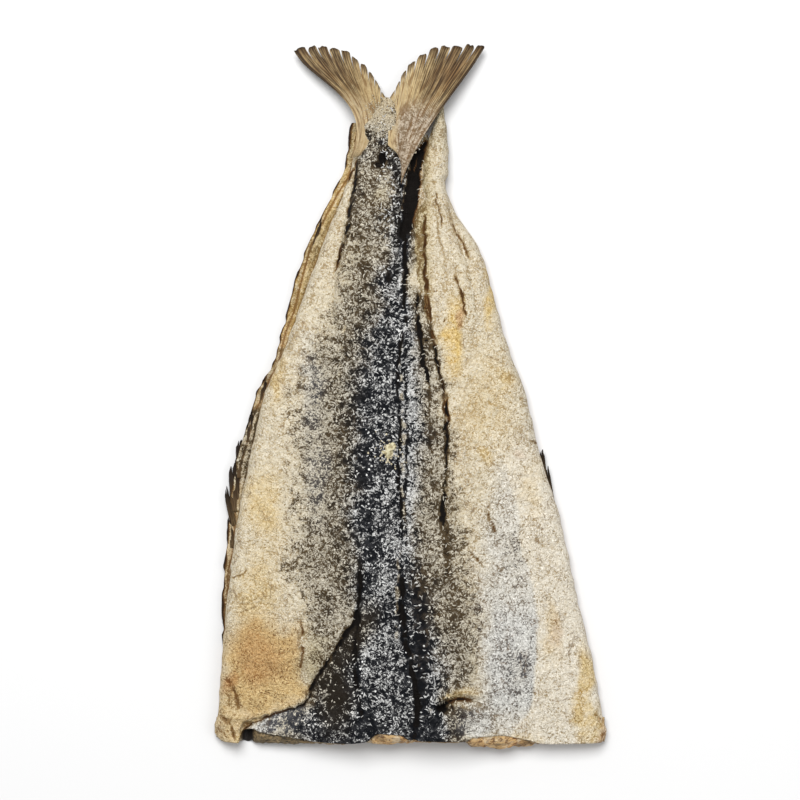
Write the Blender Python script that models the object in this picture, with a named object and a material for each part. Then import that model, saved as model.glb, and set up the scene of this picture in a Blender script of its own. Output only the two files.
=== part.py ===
"""A whole salt cod: headless, split, salted and dried, lying skin side up with its tail towards +Y.

Metres, +Z up. The origin is the middle of its outline, on the surface that it lies on.
A share along the fish is 0 at the neck cut and 1 at the tips of the tail. A share across it is
0 on the middle line and 0.5 at the outline's widest, negative on the left as seen with the tail up.
"""

import math

import bmesh
import bpy
import numpy as np

# Driving dimensions
LENGTH = 0.706
WIDTH = 0.394
BACK_HEIGHT = 0.040
FLANK_HEIGHT = 0.018
ROLL_RADIUS = 0.014
FIN_THICKNESS = 0.0022

# Where the body lies, as (share along, share across)
BODY_LEFT = (
    (0.0, -0.498), (0.051, -0.487), (0.118, -0.480), (0.210, -0.464), (0.316, -0.442),
    (0.422, -0.404), (0.493, -0.376), (0.571, -0.317), (0.649, -0.266), (0.727, -0.216),
    (0.790, -0.170), (0.861, -0.135),
)
BODY_RIGHT = (
    (0.0, 0.502), (0.051, 0.487), (0.118, 0.466), (0.224, 0.419), (0.281, 0.400),
    (0.337, 0.376), (0.422, 0.329), (0.493, 0.298), (0.571, 0.248), (0.649, 0.210),
    (0.705, 0.180), (0.762, 0.117), (0.861, 0.051),
)
# The tail stalk, a thick strip of back skin that lies on the body and carries the tail
STALK_LEFT = (
    (0.493, -0.178), (0.592, -0.203), (0.677, -0.190), (0.762, -0.162), (0.797, -0.150),
    (0.833, -0.142), (0.870, -0.138), (0.892, -0.112), (0.908, -0.080),
)
STALK_RIGHT = (
    (0.493, -0.030), (0.571, -0.028), (0.663, -0.020), (0.776, -0.018), (0.802, -0.023),
    (0.819, -0.003), (0.844, 0.028), (0.870, 0.045), (0.892, 0.020), (0.908, -0.030),
)
# The right belly flap, rolled up beside the stalk
FLAP_LEFT = (
    (0.450, 0.071), (0.507, 0.046), (0.606, 0.015), (0.684, -0.006), (0.755, -0.008),
    (0.797, 0.008), (0.847, 0.046), (0.882, 0.061), (0.914, 0.067),
)
FLAP_RIGHT = (
    (0.450, 0.152), (0.521, 0.178), (0.592, 0.183), (0.649, 0.170), (0.727, 0.129),
    (0.769, 0.107), (0.805, 0.094), (0.833, 0.099), (0.875, 0.094), (0.914, 0.086),
)
# The edge of the left belly flap, which is folded under and shows beyond the body
HEM_OUTER = (
    (0.146, -0.477), (0.210, -0.475), (0.309, -0.462), (0.387, -0.449), (0.422, -0.431),
    (0.450, -0.412), (0.479, -0.402), (0.510, -0.376), (0.535, -0.347), (0.635, -0.302),
    (0.705, -0.266), (0.751, -0.228), (0.790, -0.195), (0.833, -0.162), (0.861, -0.159),
    (0.890, -0.150),
)
HEM_TUCK = 0.016
HEM_HEIGHT = 0.0085
HEM_FLOOR = 0.0005

# Heights along the fish, as (share along, share of the back's height)
BODY_CREST = (
    (0.0, 0.80), (0.10, 0.95), (0.30, 1.0), (0.48, 0.95), (0.62, 0.80), (0.75, 0.62), (0.861, 0.36),
)
BODY_FLANK = ((0.0, 0.90), (0.25, 1.08), (0.60, 1.0), (0.861, 0.62))
STALK_CREST = (
    (0.493, 0.66), (0.57, 0.80), (0.64, 0.875), (0.72, 0.86), (0.80, 0.78), (0.86, 0.66),
    (0.908, 0.55),
)
STALK_ROLL = 0.014
FLAP_CREST = (
    (0.450, 0.48), (0.54, 0.70), (0.64, 0.77), (0.80, 0.70), (0.87, 0.56), (0.914, 0.30),
)
FLAP_ROLL = 0.013
FLAP_FLOOR = ((0.60, 0.28), (0.75, 0.10), (0.914, 0.08))
CREST_LINE = ((0.0, 0.005), (0.20, -0.015), (0.50, -0.030), (0.861, -0.045))
CREST_SPREAD = 0.30

# The line down the middle of the back, where the skin is drawn in
BACK_LINE = (
    (0.0, 0.010), (0.07, 0.010), (0.16, -0.022), (0.39, -0.022), (0.56, -0.026), (0.66, -0.018),
    (0.78, -0.016), (0.861, -0.040),
)
# Furrows of the skin: path as (share along, share across), depth, and width left and right of it
FURROWS = (
    (BACK_LINE, 0.0065, 0.008, 0.007),
    (((0.30, 0.080), (0.40, 0.096), (0.48, 0.088), (0.60, 0.060)), 0.0035, 0.011, 0.010),
    (((0.000, -0.411), (0.037, -0.376), (0.065, -0.259), (0.110, -0.203), (0.200, -0.150)),
     0.0085, 0.006, 0.030),
)
FURROW_FADE = 0.05
WAVE_HEIGHT = 0.0011
CUT_SLANT = 0.25
CUT_REACH = 0.03

# The tail: tips and roots of its rays from the outer edge in, as (share along, share across)
LEFT_TIPS = (
    (0.993, -0.291), (0.997, -0.239), (0.993, -0.184), (0.976, -0.139), (0.950, -0.099),
    (0.922, -0.059),
)
LEFT_ROOTS = ((0.888, -0.140), (0.861, -0.128), (0.850, -0.100), (0.850, -0.070))
LEFT_BEND = -0.016
RIGHT_TIPS = (
    (0.998, 0.183), (0.998, 0.135), (0.996, 0.072), (0.983, 0.020), (0.959, -0.016),
    (0.923, -0.053),
)
RIGHT_ROOTS = ((0.880, 0.027), (0.852, 0.010), (0.850, -0.020), (0.850, -0.060))
RIGHT_BEND = -0.002
RAYS_IN_A_LOBE = 12
TAIL_ROOT_HEIGHT = 0.0215
TAIL_TIP_HEIGHT = 0.012
RAY_WIDTH = (0.0110, 0.0112)
RAY_STEPS = ((0.0, 1.0), (0.25, 1.0), (0.5, 1.0), (0.75, 1.0), (0.94, 0.95), (1.0, 0.5))
RAY_STAGGER = 0.0006

# The anal fin beside the left fold: root and tip of each blade, and its width as a share across
LEFT_BLADES = (
    ((0.390, -0.425), (0.438, -0.431), 0.024),
    ((0.335, -0.440), (0.402, -0.451), 0.026),
    ((0.320, -0.448), (0.369, -0.467), 0.014),
    ((0.432, -0.400), (0.482, -0.402), 0.020),
    ((0.715, -0.240), (0.751, -0.227), 0.012),
)
RIGHT_BLADES = (
    ((0.325, 0.352), (0.372, 0.356), 0.020),
    ((0.365, 0.338), (0.398, 0.342), 0.020),
)
BLADE_HEIGHT = 0.0075

# Hollows: middle as (share along, share across), height of the middle, half sizes in X, Y and Z
HOLLOWS = (
    ((0.831, -0.074), 0.030, (0.0045, 0.0085, 0.0070)),
    ((0.058, 0.074), 0.034, (0.0065, 0.0050, 0.0060)),
    ((0.085, -0.152), 0.041, (0.0060, 0.0240, 0.0090)),
    ((-0.002, -0.395), 0.009, (0.0090, 0.0120, 0.0060)),
    ((0.000, -0.305), 0.0055, (0.0300, 0.0060, 0.0035)),
    ((0.000, 0.200), 0.0070, (0.0240, 0.0050, 0.0030)),
)

# Salt: how many grains, their radius, the least distance between two, and the large pale lump
GRAINS = 125
GRAIN_SIZE = (0.0013, 0.0024)
GRAIN_SPACING = 0.0075
LUMP = ((0.419, -0.056), 0.0052)
SEED = 11

# The flesh side: how far it arches up between the folded flaps
ARCH_HEIGHT = 0.010
ARCH_HALF_WIDTH = 0.62
ARCH_END = 0.70

# How finely each form is divided: rows along it, and columns at shares of the way out from its middle
BODY_ROWS = 42
BODY_COLUMNS = (0.035, 0.075, 0.14, 0.25, 0.40, 0.58, 0.78)
ROLL_STEPS = 3
ROLL_ROWS, ROLL_COLUMNS = 16, (0.5,)
HEM_ROWS, HEM_COLUMNS = 26, ()
SHARP_ANGLE = 0.8
BLADE_STEPS = ((0.0, 1.0), (0.35, 1.0), (0.7, 0.8), (1.0, 0.15))


def along(share):
    """Y of a share along the fish."""
    return (np.asarray(share, float) - 0.5) * LENGTH


def across(share):
    """X of a share across the fish."""
    return np.asarray(share, float) * WIDTH


def smooth_curve(keys):
    """A smooth curve through (place, value) keys that overshoots none of them."""
    places, values = np.array(sorted(keys), float).T
    steps = np.diff(places)
    slopes = np.diff(values) / steps
    product = slopes[1:] * slopes[:-1]
    total = np.where(product > 0, slopes[1:] + slopes[:-1], 1.0)
    inner = np.where(product > 0, 2 * product / total, 0.0)
    tangents = np.concatenate([slopes[:1], inner, slopes[-1:]])

    def value(at):
        at = np.clip(at, places[0], places[-1])
        i = np.clip(np.searchsorted(places, at) - 1, 0, len(steps) - 1)
        t = (at - places[i]) / steps[i]
        back = 1 - t
        ends = values[i] * (1 + 2 * t) * back**2 + values[i + 1] * t**2 * (3 - 2 * t)
        lean = tangents[i] * steps[i] * t * back**2 - tangents[i + 1] * steps[i] * t**2 * back
        return ends + lean

    return value


def waves(x, y):
    """The slow undulation of dried skin, about -1 to 1: four crossed sine waves."""
    rng = np.random.default_rng(SEED)
    total = 0.0
    for wavelength in (0.11, 0.083, 0.061, 0.047):
        angle, phase = rng.uniform(0, math.pi), rng.uniform(0, 2 * math.pi)
        reach = (x * math.cos(angle) + y * math.sin(angle)) * 2 * math.pi / wavelength
        total = total + np.sin(reach + phase) / 4
    return total


def furrow(x, share, path, depth, left_width, right_width):
    """Depth of a furrow at a point: a bell across its path, fading out at its ends on the skin."""
    centre = across(smooth_curve(path)(share))
    first, last = path[0][0], path[-1][0]
    start = (share - first) / FURROW_FADE if first > 0 else 1.0
    inside = np.minimum(start, (last - share) / FURROW_FADE)
    width = np.where(x < centre, left_width, right_width)
    return depth * np.clip(inside, 0, 1) * np.exp(-(((x - centre) / width) ** 2))


def roll(distance, radius):
    """Share of its full height that a rolled edge has at a distance in from it: a quarter round."""
    t = np.clip(distance / radius, 0, 1)
    return np.sqrt(t * (2 - t))


class Strip:
    """A long form between two edges, with a crown above and a floor below that meet at rolled edges."""

    def __init__(self, left, right, crown, floor, lip, radius=ROLL_RADIUS):
        self.left, self.right = smooth_curve(left), smooth_curve(right)
        self.crown, self.floor, self.lip, self.radius = crown, floor, lip, radius

    def edges(self, share):
        """X of both edges and the roll's radius there."""
        left, right = across(self.left(share)), across(self.right(share))
        return left, right, np.minimum(self.radius, (right - left) / 2)

    def heights(self, x, share):
        """Z of the top and of the underside."""
        left, right, radius = self.edges(share)
        rise = roll(np.minimum(x - left, right - x), radius)
        top, bottom = self.crown(x, share), self.floor(x, share)
        lip = bottom + self.lip(x, share) * (top - bottom)
        return lip + (top - lip) * rise, lip - (lip - bottom) * rise

    def ring(self, share, middle, columns):
        """One closed cross-section, from the left edge over the top and back underneath.

        Its columns lie at shares of the way out from the middle line to where each edge rolls."""
        left, right, radius = self.edges(share)
        centre = across(smooth_curve(middle)(share)) if middle else (left + right) / 2
        out = np.array(columns)
        turn = np.linspace(0, math.pi / 2, ROLL_STEPS + 1)
        rolled = radius * (1 - np.cos(turn))
        inner_left = centre + (left + radius - centre) * out[::-1]
        inner_right = centre + (right - radius - centre) * out
        x = np.concatenate([left + rolled, inner_left, [centre], inner_right, right - rolled[::-1]])
        top, bottom = self.heights(x, share)
        y = np.full(len(x), along(share))
        over = np.stack([x, y, top], 1)
        under = np.stack([x, y, bottom], 1)[-2:0:-1]
        return np.concatenate([over, under])


def mesh_object(name, points, faces, collection):
    """A new object from points and faces, its faces pointing out."""
    mesh = bpy.data.meshes.new(name)
    mesh.from_pydata(points, [], faces)
    form = bmesh.new()
    form.from_mesh(mesh)
    bmesh.ops.recalc_face_normals(form, faces=form.faces)
    form.to_mesh(mesh)
    form.free()
    made = bpy.data.objects.new(name, mesh)
    collection.objects.link(made)
    return made


def skin_over(name, rings, collection):
    """A closed solid from rings of equal size, its two ends filled by quads from top to underside."""
    count, size = len(rings), len(rings[0])
    faces = [
        (r * size + i, r * size + (i + 1) % size, (r + 1) * size + (i + 1) % size, (r + 1) * size + i)
        for r in range(count - 1)
        for i in range(size)
    ]
    for start in (0, (count - 1) * size):
        for i in range(size // 2):
            corners = [i, i + 1, size - i - 1, (size - i) % size]
            faces.append(tuple(start + c for c in dict.fromkeys(corners)))
    return mesh_object(name, np.concatenate(rings).tolist(), faces, collection)


def body_crown(x, share):
    """Height of the back: flanks that rise to a crest along the middle, with its furrows and waves."""
    crest = BACK_HEIGHT * smooth_curve(BODY_CREST)(share)
    flank = FLANK_HEIGHT * smooth_curve(BODY_FLANK)(share)
    off = (x - across(smooth_curve(CREST_LINE)(share))) / (CREST_SPREAD * WIDTH)
    height = flank + np.maximum(crest - flank, 0) * np.exp(-(off**2))
    height = height + WAVE_HEIGHT * waves(x, along(share))
    for path, depth, left_width, right_width in FURROWS:
        height = height - furrow(x, share, path, depth, left_width, right_width)
    return height


def body_floor(x, share):
    """Height of the flesh side: flat under both flaps, arched up between them."""
    left, right = across(smooth_curve(BODY_LEFT)(share)), across(smooth_curve(BODY_RIGHT)(share))
    reach = (x - (left + right) / 2) / (ARCH_HALF_WIDTH * (right - left) / 2)
    end = np.clip((ARCH_END - share) / 0.2, 0, 1)
    return ARCH_HEIGHT * np.clip(1 - reach**2, 0, 1) * end


def crest_of(keys):
    """A crown whose height follows the keys along the fish, with the waves of dried skin."""
    curve = smooth_curve(keys)
    return lambda x, share: BACK_HEIGHT * curve(share) + WAVE_HEIGHT * waves(x, along(share))


def floor_of(keys):
    """An underside whose height follows the keys along the fish."""
    curve = smooth_curve(keys)
    return lambda x, share: BACK_HEIGHT * curve(share) + np.zeros(np.shape(x))


def level(height):
    """A surface of one height."""
    return lambda x, share: np.full(np.shape(x), height)


BODY = Strip(BODY_LEFT, BODY_RIGHT, body_crown, body_floor, level(0.42))
STALK = Strip(STALK_LEFT, STALK_RIGHT, crest_of(STALK_CREST), level(0.012), level(0.30), STALK_ROLL)
FLAP = Strip(FLAP_LEFT, FLAP_RIGHT, crest_of(FLAP_CREST), floor_of(FLAP_FLOOR), level(0.30), FLAP_ROLL)
HEM = Strip(
    HEM_OUTER,
    [(share, float(smooth_curve(BODY_LEFT)(share)) + HEM_TUCK / WIDTH) for share, _ in HEM_OUTER],
    level(HEM_HEIGHT), level(HEM_FLOOR), level(0.55), 0.004,
)


def strip_object(name, strip, keys, rows, columns, collection, middle=None):
    """A strip as a closed solid over the shares that its keys span."""
    shares = np.linspace(keys[0][0], keys[-1][0], rows + 1)
    return skin_over(name, [strip.ring(share, middle, columns) for share in shares], collection)


def slant_the_cut(cod):
    """Leans the neck cut back towards its upper edge, and makes it uneven along its width."""
    for vertex in cod.data.vertices:
        near = 1 - (vertex.co.y / LENGTH + 0.5) / CUT_REACH
        if near > 0:
            uneven = 0.0018 * float(waves(vertex.co.x * 2.5, vertex.co.z))
            vertex.co.y += (CUT_SLANT * vertex.co.z + uneven) * min(near, 1)


def blade(name, root, tip, bend, widths, heights, steps, collection):
    """A thin fin blade or ray from root to tip, bowed sideways and narrowed at its tip."""
    root, tip = (np.array([float(across(p[1])), float(along(p[0]))]) for p in (root, tip))
    run = tip - root
    side = np.array([-run[1], run[0]]) / np.hypot(*run)
    rings = []
    for t, point in steps:
        middle = root + run * t + side * bend * WIDTH * 4 * t * (1 - t)
        half = (widths[0] + (widths[1] - widths[0]) * t) / 2
        thick = FIN_THICKNESS * (1 - 0.45 * t) / 2
        z = heights[0] + (heights[1] - heights[0]) * t
        ring = []
        for u, w in ((-1, 0), (-0.45, 1), (0.45, 1), (1, 0), (0.45, -1), (-0.45, -1)):
            x, y = middle + side * u * half * point
            ring.append((x, y, z + w * thick))
        rings.append(np.array(ring))
    return skin_over(name, rings, collection)


def tail_lobe(name, tips, roots, bend, collection):
    """One lobe of the tail: overlapping rays that fan out from the stalk, split at their tips."""
    share = np.linspace(0, 1, RAYS_IN_A_LOBE)
    ends = [smooth_curve(list(zip(np.linspace(0, 1, len(tips)), values))) for values in zip(*tips)]
    starts = [smooth_curve(list(zip(np.linspace(0, 1, len(roots)), values))) for values in zip(*roots)]
    for k, a in enumerate(share):
        tip = [float(curve(a)) for curve in ends]
        root = [float(curve(a)) for curve in starts]
        lift = RAY_STAGGER * (k % 3 - 1)
        heights = (TAIL_ROOT_HEIGHT + lift, TAIL_TIP_HEIGHT + lift)
        blade(f"{name}_{k:02d}", root, tip, bend, RAY_WIDTH, heights, RAY_STEPS, collection)


def top_height(x, share):
    """Z of the highest surface at a point."""
    heights = [BODY.heights(x, share)[0]]
    for strip, keys in ((STALK, STALK_LEFT), (FLAP, FLAP_LEFT)):
        left, right, _ = strip.edges(share)
        inside = (x > left) & (x < right) & (share > keys[0][0]) & (share < keys[-1][0])
        heights.append(np.where(inside, strip.heights(x, share)[0], 0.0))
    return np.max(heights, axis=0)


def salt_grains(collection):
    """Coarse grains of salt sunk into the skin, no two of them touching, and one large pale lump."""
    rng = np.random.default_rng(SEED)
    placed = [(float(across(LUMP[0][1])), float(along(LUMP[0][0])), LUMP[1])]
    while len(placed) < GRAINS:
        share = rng.uniform(0.03, 0.80)
        left, right, radius = BODY.edges(share)
        x = rng.uniform(left + radius, right - radius)
        y = float(along(share))
        if all(math.hypot(x - px, y - py) > GRAIN_SPACING for px, py, _ in placed):
            placed.append((float(x), y, rng.uniform(*GRAIN_SIZE)))
    form = bmesh.new()
    for x, y, size in placed:
        z = float(top_height(np.array(x), np.array(y / LENGTH + 0.5)))
        made = bmesh.ops.create_icosphere(form, subdivisions=1, radius=size)
        stretch = rng.uniform(0.75, 1.25, (len(made["verts"]), 3))
        for vertex, pull in zip(made["verts"], stretch):
            vertex.co.x = vertex.co.x * pull[0] + x
            vertex.co.y = vertex.co.y * pull[1] + y
            vertex.co.z = vertex.co.z * pull[2] * 0.8 + z
    mesh = bpy.data.meshes.new("grains")
    form.to_mesh(mesh)
    form.free()
    collection.objects.link(bpy.data.objects.new("grains", mesh))


def hollows(collection):
    """Ellipsoid cutters for the pits in the skin and the cavities under it at the neck cut."""
    for k, ((share, place), height, (half_x, half_y, half_z)) in enumerate(HOLLOWS):
        form = bmesh.new()
        bmesh.ops.create_uvsphere(form, u_segments=10, v_segments=6, radius=1.0)
        for vertex in form.verts:
            vertex.co.x = vertex.co.x * half_x + float(across(place))
            vertex.co.y = vertex.co.y * half_y + float(along(share))
            vertex.co.z = vertex.co.z * half_z + height
        mesh = bpy.data.meshes.new(f"hollow_{k}")
        form.to_mesh(mesh)
        form.free()
        collection.objects.link(bpy.data.objects.new(f"hollow_{k}", mesh))


def combine(target, collection, operation):
    """Joins or cuts target with everything in a collection, then removes the collection's objects."""
    modifier = target.modifiers.new(operation.title(), "BOOLEAN")
    modifier.operand_type = "COLLECTION"
    modifier.operation = operation
    modifier.solver = "MANIFOLD"
    modifier.collection = collection
    bpy.context.view_layer.update()
    graph = bpy.context.evaluated_depsgraph_get()
    mesh = bpy.data.meshes.new_from_object(target.evaluated_get(graph))
    target.modifiers.clear()
    target.data = mesh
    for used in list(collection.objects):
        bpy.data.objects.remove(used)
    bpy.data.collections.remove(collection)


def drop_scraps(target):
    """Keeps only the largest connected piece of a mesh."""
    form = bmesh.new()
    form.from_mesh(target.data)
    left, pieces = set(form.verts), []
    while left:
        reached, edge = set(), [left.pop()]
        while edge:
            vertex = edge.pop()
            reached.add(vertex)
            near = [e.other_vert(vertex) for e in vertex.link_edges]
            fresh = [v for v in near if v in left]
            left.difference_update(fresh)
            edge.extend(fresh)
        pieces.append(reached)
    pieces.sort(key=len)
    for piece in pieces[:-1]:
        bmesh.ops.delete(form, geom=list(piece), context="VERTS")
    form.to_mesh(target.data)
    form.free()


def settle(target):
    """Brings the middle of the outline to the origin in X and Y, and the lowest point to Z 0."""
    points = np.array([vertex.co for vertex in target.data.vertices])
    low, high = points.min(0), points.max(0)
    middle = (low + high) / 2
    for vertex in target.data.vertices:
        vertex.co.x -= middle[0]
        vertex.co.y -= middle[1]
        vertex.co.z -= low[2]


def new_collection(name):
    """A collection in the scene for the operands of one Boolean."""
    made = bpy.data.collections.new(name)
    bpy.context.scene.collection.children.link(made)
    return made


def skin_material():
    """Salted skin and flesh: cream with grey salt, dull."""
    material = bpy.data.materials.new("salted_skin")
    material.use_nodes = True
    shader = material.node_tree.nodes["Principled BSDF"]
    shader.inputs["Base Color"].default_value = (0.47, 0.41, 0.31, 1.0)
    shader.inputs["Roughness"].default_value = 0.75
    shader.inputs["Metallic"].default_value = 0.0
    return material


def main():
    for old in list(bpy.data.objects):
        bpy.data.objects.remove(old)
    scene = bpy.context.scene.collection
    cod = strip_object("salt_cod", BODY, BODY_LEFT, BODY_ROWS, BODY_COLUMNS, scene, BACK_LINE)
    slant_the_cut(cod)
    joined = new_collection("joined")
    strip_object("stalk", STALK, STALK_LEFT, ROLL_ROWS, ROLL_COLUMNS, joined)
    strip_object("flap", FLAP, FLAP_LEFT, ROLL_ROWS, ROLL_COLUMNS, joined)
    strip_object("hem", HEM, HEM_OUTER, HEM_ROWS, HEM_COLUMNS, joined)
    tail_lobe("left_lobe", LEFT_TIPS, LEFT_ROOTS, LEFT_BEND, joined)
    tail_lobe("right_lobe", RIGHT_TIPS, RIGHT_ROOTS, RIGHT_BEND, joined)
    for k, (root, tip, width) in enumerate(LEFT_BLADES + RIGHT_BLADES):
        widths = (width * WIDTH, width * WIDTH * 0.6)
        blade(f"fin_{k}", root, tip, 0.0, widths, (BLADE_HEIGHT, BLADE_HEIGHT), BLADE_STEPS, joined)
    salt_grains(joined)
    combine(cod, joined, "UNION")
    cut = new_collection("cut")
    hollows(cut)
    combine(cod, cut, "DIFFERENCE")
    drop_scraps(cod)
    settle(cod)
    cod.data.shade_smooth()
    cod.data.set_sharp_from_angle(angle=SHARP_ANGLE)
    cod.data.materials.clear()
    cod.data.materials.append(skin_material())


main()
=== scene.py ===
"""The looks of a whole salt cod, lying skin side up with its tail at the top of the picture.

Places on the fish are in millimetres: first across from its middle line, to the right, then along
from the neck cut towards the tail. Heights are in millimetres above the surface that it lies on.
"""

import math

import bpy
import numpy as np
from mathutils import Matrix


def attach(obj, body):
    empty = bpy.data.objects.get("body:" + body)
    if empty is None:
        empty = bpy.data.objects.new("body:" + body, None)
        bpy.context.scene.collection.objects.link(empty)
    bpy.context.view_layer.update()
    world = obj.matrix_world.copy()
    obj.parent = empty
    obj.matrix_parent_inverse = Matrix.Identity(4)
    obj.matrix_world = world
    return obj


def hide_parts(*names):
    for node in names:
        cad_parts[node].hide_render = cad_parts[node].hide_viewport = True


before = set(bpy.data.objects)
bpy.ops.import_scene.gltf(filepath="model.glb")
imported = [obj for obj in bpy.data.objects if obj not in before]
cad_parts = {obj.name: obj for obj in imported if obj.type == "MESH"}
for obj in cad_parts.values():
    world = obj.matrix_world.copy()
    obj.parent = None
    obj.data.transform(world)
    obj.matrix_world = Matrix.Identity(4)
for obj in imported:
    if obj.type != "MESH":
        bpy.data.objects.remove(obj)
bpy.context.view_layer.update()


# The body: back and flanks in one thick slab of dried flesh under salted skin. It is thickest
# along the back, its belly edges are folded under, and its skin has shrunk into furrows.
LENGTH = 706.0
BODY_LEFT = (
    (0, -189), (4, -193.5), (10, -196), (20, -195.2), (36, -191.5), (83, -189), (148, -183),
    (223, -174), (298, -159), (348, -148), (403, -125), (458, -105), (513, -85), (558, -67), (608, -53),
    (616, -51),
)
BODY_RIGHT = (
    (0, 192), (4, 195.5), (12, 196.3), (36, 191.5), (83, 183.5), (158, 165.5), (198, 157.5),
    (238, 148), (298, 129.5), (348, 117.5), (403, 98), (458, 82.5), (498, 71), (538, 46), (608, 20),
    (616, 18),
)
BODY_CREST = ((0, 32), (71, 38), (212, 40), (339, 38), (438, 32), (530, 24.8), (616, 15))
BODY_FLANK = ((0, 16.2), (176, 19.4), (424, 18), (608, 11.2), (616, 11))
CREST_LINE = ((0, 2), (141, -6), (353, -12), (608, -18))
CREST_SPREAD = 118.0

# Where the skin ends at the neck cut, across then along, because it has dried back from the flesh
SKIN_END = (
    (-197, 10), (-185, 7), (-171, 6), (-167, 19), (-157, 20), (-150, 17), (-120, 12), (-95, 8), (-66, 6),
    (-44, 8), (-32, 16), (-10, 15), (0, 10), (4, 11), (10, 9), (55, 8), (62, 12), (90, 14), (118, 9),
    (135, 5), (197, 6),
)

# Furrows, cracks and ridges: places along each, its depth (below 0 it is a ridge), its half width
# and how dark the painted shade in it is; ridges are painted paler instead, partly as painted highlight
CREASES = (
    (((-5, 425), (-10, 395), (-12, 360), (-9, 320), (-12, 278), (-9, 235), (-8, 186)), 2.0, 1.3, 0.75),
    (((-8, 182), (-8, 146), (-4, 108), (5, 62), (7, 30), (4, 2)), 4.5, 2.8, 1.0),
    (((-3, 420), (-5, 370), (-3, 330), (-3, 290), (-5, 240), (-4, 190)), 1.2, 1.0, 0.5),
    (((-8, 422), (-8, 370), (-6, 318), (-8, 270), (-6, 225), (-12, 180), (-13, 140), (-12, 88)),
     -1.8, 2.1, 0.0),
    (((-66, 432), (-66, 408), (-69, 385), (-71, 352), (-73, 325)), -0.9, 1.2, 0.0),
    (((8, 176), (10, 140), (11, 100), (11, 30)), 2.5, 6.0, 0.42),
    (((6, 458), (8, 432), (11, 400), (16, 374), (20, 362)), 2.4, 1.9, 0.95),
    (((20, 366), (20, 330), (21, 290)), 1.2, 1.4, 0.4),
    (((13, 533), (15, 478), (23, 408), (33, 350), (36, 300), (35, 268), (33, 228)), 2.4, 1.5, 0.75),
    (((35, 356), (37, 332), (37, 306)), 1.0, 2.0, 0.95),
    (((34, 270), (34, 245), (32, 218)), 1.4, 2.6, 0.8),
    (((38, 230), (36, 205), (37, 180), (30, 160)), 1.4, 2.4, 0.5),
    (((-103, 54), (-94, 70), (-80, 90), (-66, 112), (-54, 130), (-50, 160), (-49, 190)), 5.0, 2.0, 0.9),
    (((-51, 142), (-53, 110), (-54, 84), (-51, 50), (-45, 28)), 3.2, 2.2, 0.75),
    (((-78, 30), (-72, 52), (-68, 78)), 2.0, 5.0, 0.15),
    (((-110, 134), (-107, 112), (-107, 92), (-109, 76)), 0.9, 1.2, 0.7),
    (((40, 533), (52, 505), (60, 488)), 1.2, 1.3, 0.6),
    (((44, 474), (51, 458), (54, 444), (56, 430)), 1.2, 1.4, 0.75),
    (((108, 311), (120, 307), (128, 305)), 1.2, 1.2, 0.7),
    (((104, 306), (110, 302)), 0.8, 1.0, 0.6),
    (((78, 238), (82, 226), (84, 215)), 1.0, 1.2, 0.6),
    (((186, 36), (190, 26), (193, 8)), 2.0, 1.4, 0.85),
    (((168, 60), (173, 34)), 1.0, 2.4, 0.3),
    (((-185, 73), (-178, 62), (-172, 56)), 1.6, 2.0, 0.45),
    (((-174, 60), (-171, 48), (-170, 38)), 1.8, 1.8, 0.5),
    (((-190, 34), (-183, 28), (-176, 18), (-173, 8)), 1.8, 1.6, 0.55),
    (((-193, 24), (-188, 16), (-184, 9)), 1.4, 1.3, 0.5),
    (((-186, 36), (-177, 31), (-168, 30), (-160, 32)), -2.0, 3.0, 0.0),
    (((-182, 58), (-180, 46), (-186, 38)), 1.2, 1.6, 0.4),
    (((-178, 170), (-168, 174), (-162, 180)), 0.9, 1.0, 0.6),
    (((60, 196), (66, 190), (72, 184)), 0.8, 1.1, 0.7),
    (((20, 36), (26, 47), (36, 55), (52, 58), (70, 53)), -4.5, 2.8, 0.0),
    (((24, 32), (30, 43), (40, 49), (52, 51), (66, 47)), 3.0, 2.0, 0.9),
    (((40, 47), (44, 36), (56, 33)), 1.6, 1.4, 0.7),
    (((44, 45), (52, 44), (60, 40)), -1.8, 2.4, 0.0),
    (((-78, 300), (-60, 330), (-44, 372)), 1.0, 5.0, 0.08),
    (((34, 200), (44, 150), (48, 110)), 1.0, 5.0, 0.08),
    (((-3, 420), (-7, 450), (-4, 480), (-6, 522)), 2.5, 1.9, 0.9),
    (((-7, 504), (-4, 530), (-2, 555), (4, 588), (14, 606)), 2.5, 3.0, 1.0),
    (((-4, 516), (0, 534), (4, 556), (6, 582)), 3.0, 5.6, 1.0),
    (((4, 560), (7, 574), (11, 592), (17, 612)), 3.0, 3.2, 1.0),
    (((20, 621), (23, 599), (28, 588)), 1.4, 1.0, 0.45),
    (((21, 571), (27, 560), (28, 543), (31, 529), (32, 519)), 1.8, 1.0, 0.6),
    (((13, 545), (15, 500), (15, 448), (22, 418), (28, 403)), 2.2, 1.2, 0.75),
    (((24, 556), (25, 540), (30, 505), (36, 470)), 1.4, 1.1, 0.35),
    (((36, 548), (42, 520), (54, 488), (62, 462)), 1.2, 1.2, 0.3),
    (((8, 520), (9, 480), (10, 445)), 1.6, 1.4, 0.5),
    (((-54, 594), (-55, 571), (-59, 545), (-65, 510), (-69, 498), (-77, 470)), 2.2, 1.3, 0.85),
    (((-53, 592), (-68, 557), (-74, 545), (-81, 522)), 1.2, 1.3, 0.8),
    (((58, 300), (80, 296), (96, 290)), 0.9, 1.0, 0.25),
    (((60, 404), (84, 396), (100, 398)), 0.9, 1.0, 0.25),
    (((70, 348), (92, 340), (112, 332)), 0.9, 1.0, 0.3),
    (((84, 170), (110, 176), (132, 170)), 0.9, 1.0, 0.2),
    (((-170, 210), (-150, 206), (-132, 212)), 0.9, 1.0, 0.25),
    (((-176, 140), (-150, 146), (-128, 140)), 0.9, 1.1, 0.25),
    (((-86, 495), (-88, 475), (-95, 461), (-101, 444), (-106, 427), (-119, 405), (-129, 382)),
     0.8, 1.1, 0.35),
)
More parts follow.
